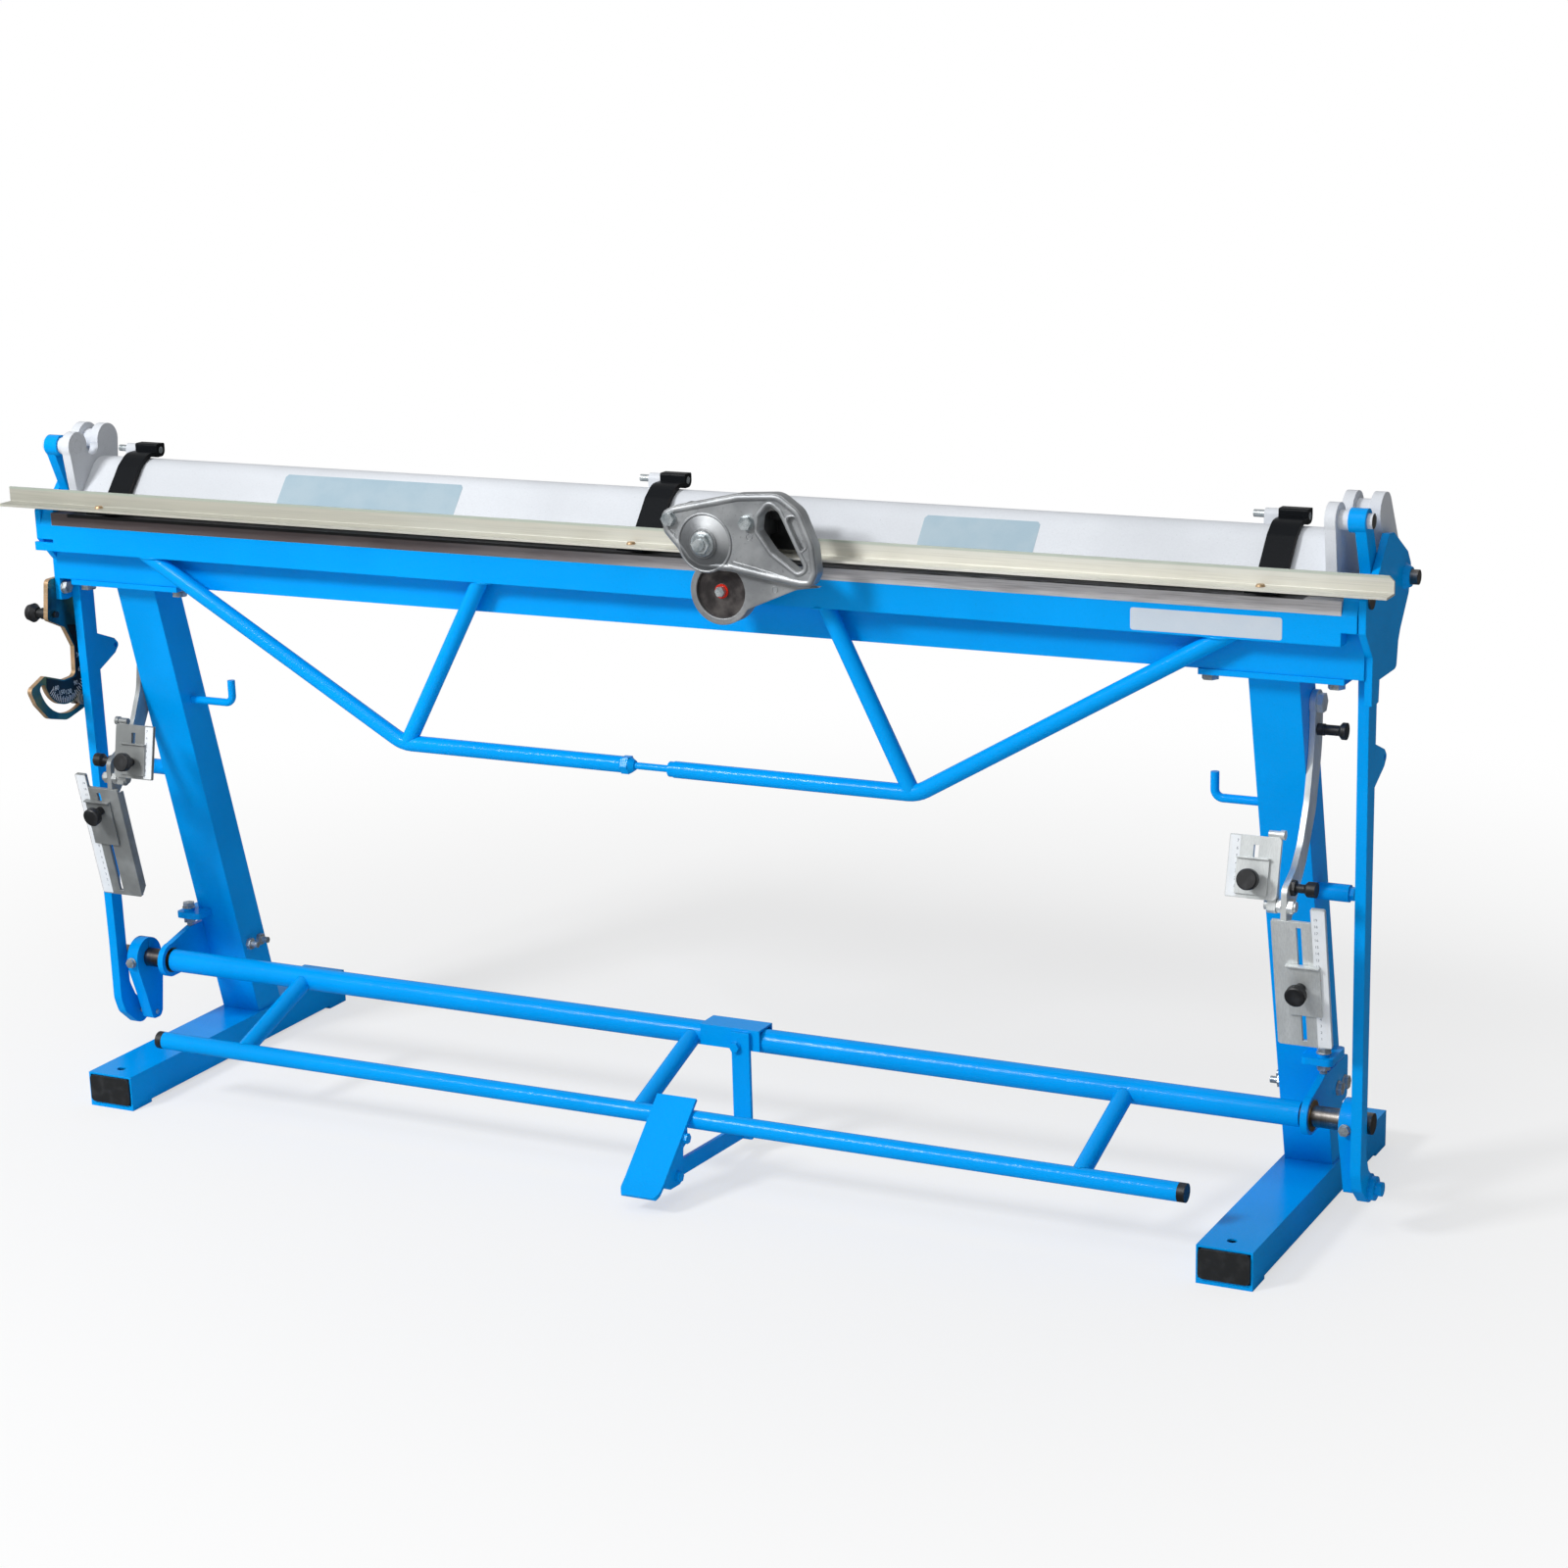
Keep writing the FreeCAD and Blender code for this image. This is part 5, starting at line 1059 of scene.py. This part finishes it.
# Outlines from the carriage's middle and the sheet: X, Z and rounding of each corner
CASTING_RIM = [(-84, 76, 14), (-80, 48, 10), (-44, 10, 16), (-26, 1, 10), (20, 0, 4), (124, -15, 8),
               (142, -14, 12), (151, 4, 14), (147, 42, 30), (127, 88, 30), (95, 110, 30),
               (34, 106, 40), (-66, 84, 12)]
HANDLE_WINDOW = [(66, 77, 8), (81, 95, 8), (95, 84, 8), (132, 10, 6), (121, 5, 6), (84, 30, 20),
                 (63, 58, 8)]
HANDLE_GROOVE = [(106, 78, 6), (119, 80, 6), (135, 40, 6), (125, 32, 6)]
# Lines of the cast beads: outline, its inset, radius of the bead
CAST_LINES = ((CASTING_RIM, 5.2, 4.4), (HANDLE_WINDOW, -3.4, 3.1), (HANDLE_GROOVE, -1.6, 1.5))
CAST_RIDGES = (([(24, 13.5), (60, 6.5), (108, -4.0)], 1.6),
               ([(17, 9.0), (56, 1.5), (106, -9.5)], 2.4))
BEAD_FLATNESS, FLANGE_DEPTH = 0.55, 7.35
# Rings of the hub and the ejector marks: X, Z, radius, width, height and Y of the face
CAST_RINGS = (
    (-18, 37, 39.5, 4.2, 1.9, CASTING_FRONT), (-18, 37, 17.2, 2.2, 0.9, CASTING_FRONT - 7),
    (-67.9, 47.9, 4.3, 1.5, 0.5, CASTING_FRONT), (49.7, 48.5, 4.3, 1.5, 0.5, CASTING_FRONT),
    (5.4, 94.5, 3.6, 1.2, 0.4, CASTING_FRONT), (106, 92, 3.6, 1.2, 0.4, CASTING_FRONT),
    (139.5, 19.4, 3.6, 1.2, 0.4, CASTING_FRONT), (79.2, -23.9, 4.3, 1.5, 0.5, HOUSING_FRONT))
# Section of the flange under the hub's nut: radius, height
NUT_FLANGE = [(8.6, 0.0), (17.0, 0.0), (17.4, 0.5), (17.0, 1.3), (13.6, 2.4), (8.6, 2.4)]


def add_casting_details():
    """Cast rims, ridges, hub rings, ejector rings and the nut flange of the shear carriage."""
    bead = bead_grower()
    lines = [(inset_path(rounded_path(corners), inset), radius, True)
             for corners, inset, radius in CAST_LINES]
    lines += [([Vector(point) for point in ridge], radius, False) for ridge, radius in CAST_RIDGES]
    flatten = (millimetres(0, CASTING_FRONT, 0) @ Matrix.Diagonal((1.0, BEAD_FLATNESS, 1.0, 1.0))
               @ millimetres(0, -CASTING_FRONT, 0))
    meshes = []
    for path, radius, closed in lines:
        wire = outline_mesh([((CARRIAGE_X + p.x) * MM, CASTING_FRONT * MM, (SHEET_Z + p.y) * MM)
                             for p in path], closed)
        grown = bead.grow(wire, "casting", Radius=radius * MM)
        grown.transform(flatten)
        meshes.append(grown)
    for x, z, radius, width, height, face in CAST_RINGS:
        bm = bmesh.new()
        lathe(bm, ring_profile(radius * MM, width * MM, height * MM), 64)
        place = facing_front(CARRIAGE_X + x, face, SHEET_Z + z)
        meshes.append(painted(mesh_from(bm, place, True), "casting"))
    new_piece("casting_beads", joined_mesh(meshes), "carriage")
    bm = bmesh.new()
    lathe(bm, [(r * MM, h * MM) for r, h in NUT_FLANGE], 60)
    flange = mesh_from(bm, facing_front(HUB_X, CASTING_FRONT - FLANGE_DEPTH, HUB_Z), True)
    new_piece("nut_flange", painted(flange, "bolt"), "upper_cutter")


WELD_RADIUS, WELD_OUT = 1.9, 0.6


def truss_ring(x, leaf_low, steps=40):
    """Ring where a truss tube that leans in X meets the leaf's underside."""
    node = TRUSS_LEFT_X if x < 0 else TRUSS_RIGHT_X
    lean = (x - node) / (leaf_low - TRUSS_NODE_Z)
    half = TRUSS_RADIUS * math.sqrt(1 + lean ** 2)
    return [((x - lean * 3 + half * math.cos(a)) * MM,
             (TRUSS_Y + (TRUSS_RADIUS + WELD_OUT) * math.sin(a)) * MM, (leaf_low - 0.4) * MM)
            for a in (2 * math.pi * k / steps for k in range(steps))]


def arm_ring(x, centre, radius, sign, steps=36):
    """Saddle where a pedal arm meets a tube along X, on the side that sign picks."""
    way = Vector((FOOT_BAR_Y - TORSION_Y, FOOT_BAR_Z - TORSION_Z)).normalized()
    points = []
    for k in range(steps):
        turn = 2 * math.pi * k / steps
        side = ARM_WELD_RADIUS * math.cos(turn)
        across = (ARM_WELD_RADIUS + WELD_OUT) * math.sin(turn)
        depth = (math.sqrt(max(0.0, radius ** 2 - across ** 2)) + 0.2) * sign
        points.append(((x + side * 1.05) * MM, (centre[0] + way.x * depth - way.y * across) * MM,
                       (centre[1] + way.y * depth + way.x * across) * MM))
    return points


def add_weld_beads():
    """Weld beads where the truss and the pedal arms are joined."""
    bead = bead_grower()
    leaf_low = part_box("folding_leaf")[0][2] / MM
    tubes = (((FOOT_BAR_Y, FOOT_BAR_Z), FOOT_BAR_RADIUS, -1),
             ((TORSION_Y, TORSION_Z), TORSION_RADIUS, 1))
    rings = {"leaf": [truss_ring(x, leaf_low) for x in TRUSS_ENDS_X],
             "torsion": [arm_ring(x, *tube) for x in FOOT_ARMS_X for tube in tubes]}
    for body, paths in rings.items():
        mesh = joined_mesh([bead.grow(outline_mesh(path), "blue", Radius=WELD_RADIUS * MM)
                            for path in paths])
        mesh.polygons.foreach_set("use_smooth", [True] * len(mesh.polygons))
        new_piece(body + "_welds", mesh, body)


# Stage

FLOOR_HALF, FADE_START, FADE_END = 9.0, 0.6, 2.8
SHADE_START, SHADE_END = 0.1, 0.9
LAMP_TARGET = (0.0, -0.1, 0.6)
KEY_PLACE, KEY_SIZE = (-2.6, -4.6, 4.2), 1.2
FILL_PLACE, FILL_SIZE = (0.6, -3.4, 5.2), 3.2


def light_path(graph, ray):
    """Whether a ray is of some kind."""
    return graph.node("ShaderNodeLightPath", output=ray)


def add_floor(settings):
    """Pale floor that carries the machine's shadow and fades to white round it."""
    material = bpy.data.materials.new("studio_floor")
    material.use_nodes = True
    graph = Graph(material.node_tree)
    tone = graph.blend(light_path(graph, "Is Glossy Ray"), (settings.floor,) * 3,
                       (settings.floor_mirrored,) * 3)
    white = graph.length(graph.place).ramp(FADE_START, FADE_END, settings.floor_glow, 1.0)
    diffuse = graph.node("ShaderNodeBsdfDiffuse", {"Color": tone})
    glow = graph.node("ShaderNodeEmission", {"Color": WHITE, "Strength": 1.0})
    share = light_path(graph, "Is Camera Ray") * white
    surface = graph.node("ShaderNodeMixShader", (share, diffuse, glow))
    graph.node("ShaderNodeOutputMaterial", {"Surface": surface})
    bm = bmesh.new()
    slab(bm, [(x * FLOOR_HALF, y * FLOOR_HALF) for x, y in ((-1, -1), (1, -1), (1, 1), (-1, 1))],
         -0.02, 0.0)
    mesh = mesh_from(bm)
    mesh.materials.append(material)
    linked("studio_floor", mesh)


def add_world(settings):
    """Surroundings: white for the camera, softer light that dims to the right for the rest."""
    world = bpy.data.worlds.new("studio")
    bpy.context.scene.world = world
    world.use_nodes = True
    graph = Graph(world.node_tree)
    seen = graph.math("MAXIMUM", light_path(graph, "Is Camera Ray"),
                      light_path(graph, "Is Transmission Ray"))
    tone = graph.axis("X").ramp(SHADE_START, SHADE_END, settings.ambient,
                                settings.ambient * settings.side_shade)
    dim, plain = (graph.node("ShaderNodeBackground", {"Color": colour, "Strength": 1.0})
                  for colour in (tone, WHITE))
    graph.node("ShaderNodeOutputWorld",
               {"Surface": graph.node("ShaderNodeMixShader", (seen, dim, plain))})


def add_lamp(name, place, size, power):
    """Soft square lamp that looks at the machine's middle."""
    data = bpy.data.lights.new(name, "AREA")
    data.shape = "SQUARE"
    data.size = size
    data.energy = power
    lamp = linked(name, data)
    lamp.location = place
    lamp.rotation_euler = (Vector(LAMP_TARGET) - Vector(place)).to_track_quat("-Z", "Y").to_euler()


# Camera of the photograph: place in metres, angles in degrees, focal length and centre in pixels
CAMERA_PLACE = (2.3006, -4.2698, 1.7889)
CAMERA_YAW, CAMERA_PITCH, CAMERA_ROLL = 26.835, 17.181, -1.549
FOCAL_PIXELS, CENTRE_X, CENTRE_Y, PICTURE = 3462.33, 812.55, 959.31, 1600.0
SENSOR_WIDTH = 36.0


def add_camera():
    """Camera at the photograph's place, with the shift that its framing needs."""
    yaw, pitch, roll = (math.radians(a) for a in (CAMERA_YAW, CAMERA_PITCH, CAMERA_ROLL))
    ahead = Vector((-math.sin(yaw) * math.cos(pitch), math.cos(yaw) * math.cos(pitch),
                    -math.sin(pitch)))
    level = Vector((math.cos(yaw), math.sin(yaw), 0.0))
    upright = level.cross(ahead)
    right = level * math.cos(roll) + upright * math.sin(roll)
    up = upright * math.cos(roll) - level * math.sin(roll)
    data = bpy.data.cameras.new("camera")
    data.sensor_fit = "HORIZONTAL"
    data.sensor_width = SENSOR_WIDTH
    data.lens = FOCAL_PIXELS / PICTURE * SENSOR_WIDTH
    data.shift_x = (PICTURE / 2 - CENTRE_X) / PICTURE
    data.shift_y = (CENTRE_Y - PICTURE / 2) / PICTURE
    data.clip_start = 0.05
    data.clip_end = 60.0
    camera = linked("camera", data)
    turn = Matrix((right, up, -ahead)).transposed().to_4x4()
    camera.matrix_world = Matrix.Translation(CAMERA_PLACE) @ turn
    bpy.context.scene.camera = camera


# Settings, operators and panel


class FOLDER_PG_finish(bpy.types.PropertyGroup):
    """Colours and paint texture of the machine."""

    blue: bpy.props.FloatVectorProperty(
        name="Enamel blue", description="Paint of the stand, leaf and pedal linkage",
        subtype="COLOR", default=srgb(0, 158, 242), min=0.0, max=1.0)
    white: bpy.props.FloatVectorProperty(
        name="Enamel white", description="Paint of the upper jaw", subtype="COLOR",
        default=srgb(218, 222, 228), min=0.0, max=1.0)
    black: bpy.props.FloatVectorProperty(
        name="Enamel black", description="Paint of the rail straps, hinge blocks and blade",
        subtype="COLOR", default=srgb(16, 19, 23), min=0.0, max=1.0)
    peel: bpy.props.FloatProperty(
        name="Orange peel", description="Depth of the paint's texture", default=0.45 * MM,
        min=0.0, max=2 * MM, unit="LENGTH")


class FOLDER_PG_scales(bpy.types.PropertyGroup):
    """Sizes of the printed scales."""

    ruler_width: bpy.props.FloatProperty(
        name="Ruler width", description="Width of the rulers on the big gauge plates",
        default=18.4 * MM, min=10 * MM, max=19 * MM, unit="LENGTH")


class FOLDER_PG_stage(bpy.types.PropertyGroup):
    """Floor and lamps."""

    floor: bpy.props.FloatProperty(name="Floor tone", description="Grey level of the floor",
                                   default=0.86, min=0.0, max=1.0)
    floor_glow: bpy.props.FloatProperty(
        name="Floor glow", description="Share of plain white that the camera sees on the floor",
        default=0.6, min=0.0, max=1.0, subtype="FACTOR")
    floor_mirrored: bpy.props.FloatProperty(
        name="Mirrored floor", description="Grey level of the floor where gloss mirrors it",
        default=0.12, min=0.0, max=1.0)
    ambient: bpy.props.FloatProperty(name="Ambient", description="Strength of the surroundings",
                                     default=0.42, min=0.0, max=3.0)
    side_shade: bpy.props.FloatProperty(
        name="Side shade", description="Strength of the surroundings on the right-hand side",
        default=0.35, min=0.0, max=1.0, subtype="FACTOR")
    key: bpy.props.FloatProperty(name="Key lamp", description="Power of the main lamp",
                                 default=260.0, min=0.0, unit="POWER")
    fill: bpy.props.FloatProperty(name="Fill lamp", description="Power of the second lamp",
                                  default=60.0, min=0.0, unit="POWER")


class FolderOperator:
    """What the operators share."""

    bl_options = {"REGISTER", "UNDO"}

    def execute(self, context):
        self.build(context.scene)
        return {"FINISHED"}


class FOLDER_OT_finishes(FolderOperator, bpy.types.Operator):
    """Make the finishes and give them to the frame's nodes"""

    bl_idname = "folder.finishes"
    bl_label = "Finishes"

    def build(self, scene):
        make_finishes(scene.folder_finish)
        slots = {node: frame["nodes"][node].data.materials[0].name.split(".")[0]
                 for node in frame["nodes"]}
        for node, slot in slots.items():
            base = NODE_FINISH.get(node, SLOT_FINISH[slot])
            coat(node, base, SOLID_RULES.get(node), FACE_RULES.get(node))


class FOLDER_OT_rulers(FolderOperator, bpy.types.Operator):
    """Put the rulers on the gauge plates"""

    bl_idname = "folder.rulers"
    bl_label = "Rulers"

    def build(self, scene):
        add_rulers(scene.folder_scales)


class FOLDER_OT_angle_scale(FolderOperator, bpy.types.Operator):
    """Put the degree scale on the angle plate"""

    bl_idname = "folder.angle_scale"
    bl_label = "Angle scale"

    def build(self, scene):
        add_angle_scale()


class FOLDER_OT_labels(FolderOperator, bpy.types.Operator):
    """Put the bare label sheets on the jaw and the leaf"""

    bl_idname = "folder.labels"
    bl_label = "Bare labels"

    def build(self, scene):
        add_labels()


class FOLDER_OT_casting(FolderOperator, bpy.types.Operator):
    """Add the cast beads and rings and the nut flange of the carriage"""

    bl_idname = "folder.casting"
    bl_label = "Casting details"

    def build(self, scene):
        add_casting_details()


class FOLDER_OT_welds(FolderOperator, bpy.types.Operator):
    """Add the weld beads of the truss and the pedal arms"""

    bl_idname = "folder.welds"
    bl_label = "Weld beads"

    def build(self, scene):
        add_weld_beads()


class FOLDER_OT_stage(FolderOperator, bpy.types.Operator):
    """Set the floor, lamps, surroundings and camera"""

    bl_idname = "folder.stage"
    bl_label = "Stage"

    def build(self, scene):
        settings = scene.folder_stage
        scene.view_settings.view_transform = "Standard"
        add_floor(settings)
        add_world(settings)
        add_lamp("key_lamp", KEY_PLACE, KEY_SIZE, settings.key)
        add_lamp("fill_lamp", FILL_PLACE, FILL_SIZE, settings.fill)
        add_camera()


OPERATORS = (FOLDER_OT_finishes, FOLDER_OT_rulers, FOLDER_OT_angle_scale, FOLDER_OT_labels,
             FOLDER_OT_casting, FOLDER_OT_welds, FOLDER_OT_stage)


class FOLDER_PT_panel(bpy.types.Panel):
    """Panel that lists the machine's builders"""

    bl_idname = "FOLDER_PT_panel"
    bl_label = "Folding machine"
    bl_space_type = "VIEW_3D"
    bl_region_type = "UI"
    bl_category = "Folder"

    def draw(self, context):
        for group in ("folder_finish", "folder_scales", "folder_stage"):
            settings = getattr(context.scene, group)
            for key in settings.__annotations__:
                self.layout.prop(settings, key)
        for operator in OPERATORS:
            self.layout.operator(operator.bl_idname)


GROUPS = {"folder_finish": FOLDER_PG_finish, "folder_scales": FOLDER_PG_scales,
          "folder_stage": FOLDER_PG_stage}


def register():
    """Register the classes and hang the settings on the scene."""
    for group in (*GROUPS.values(), *OPERATORS, FOLDER_PT_panel):
        bpy.utils.register_class(group)
    for name, group in GROUPS.items():
        setattr(bpy.types.Scene, name, bpy.props.PointerProperty(type=group))


def unregister():
    """Take the settings off the scene and the classes out."""
    for name in GROUPS:
        delattr(bpy.types.Scene, name)
    for group in reversed((*GROUPS.values(), *OPERATORS, FOLDER_PT_panel)):
        bpy.utils.unregister_class(group)


def main():
    """Build everything round the frame."""
    register()
    for operator in OPERATORS:
        group, name = operator.bl_idname.split(".")
        getattr(getattr(bpy.ops, group), name)()


if __name__ == "__main__":
    main()
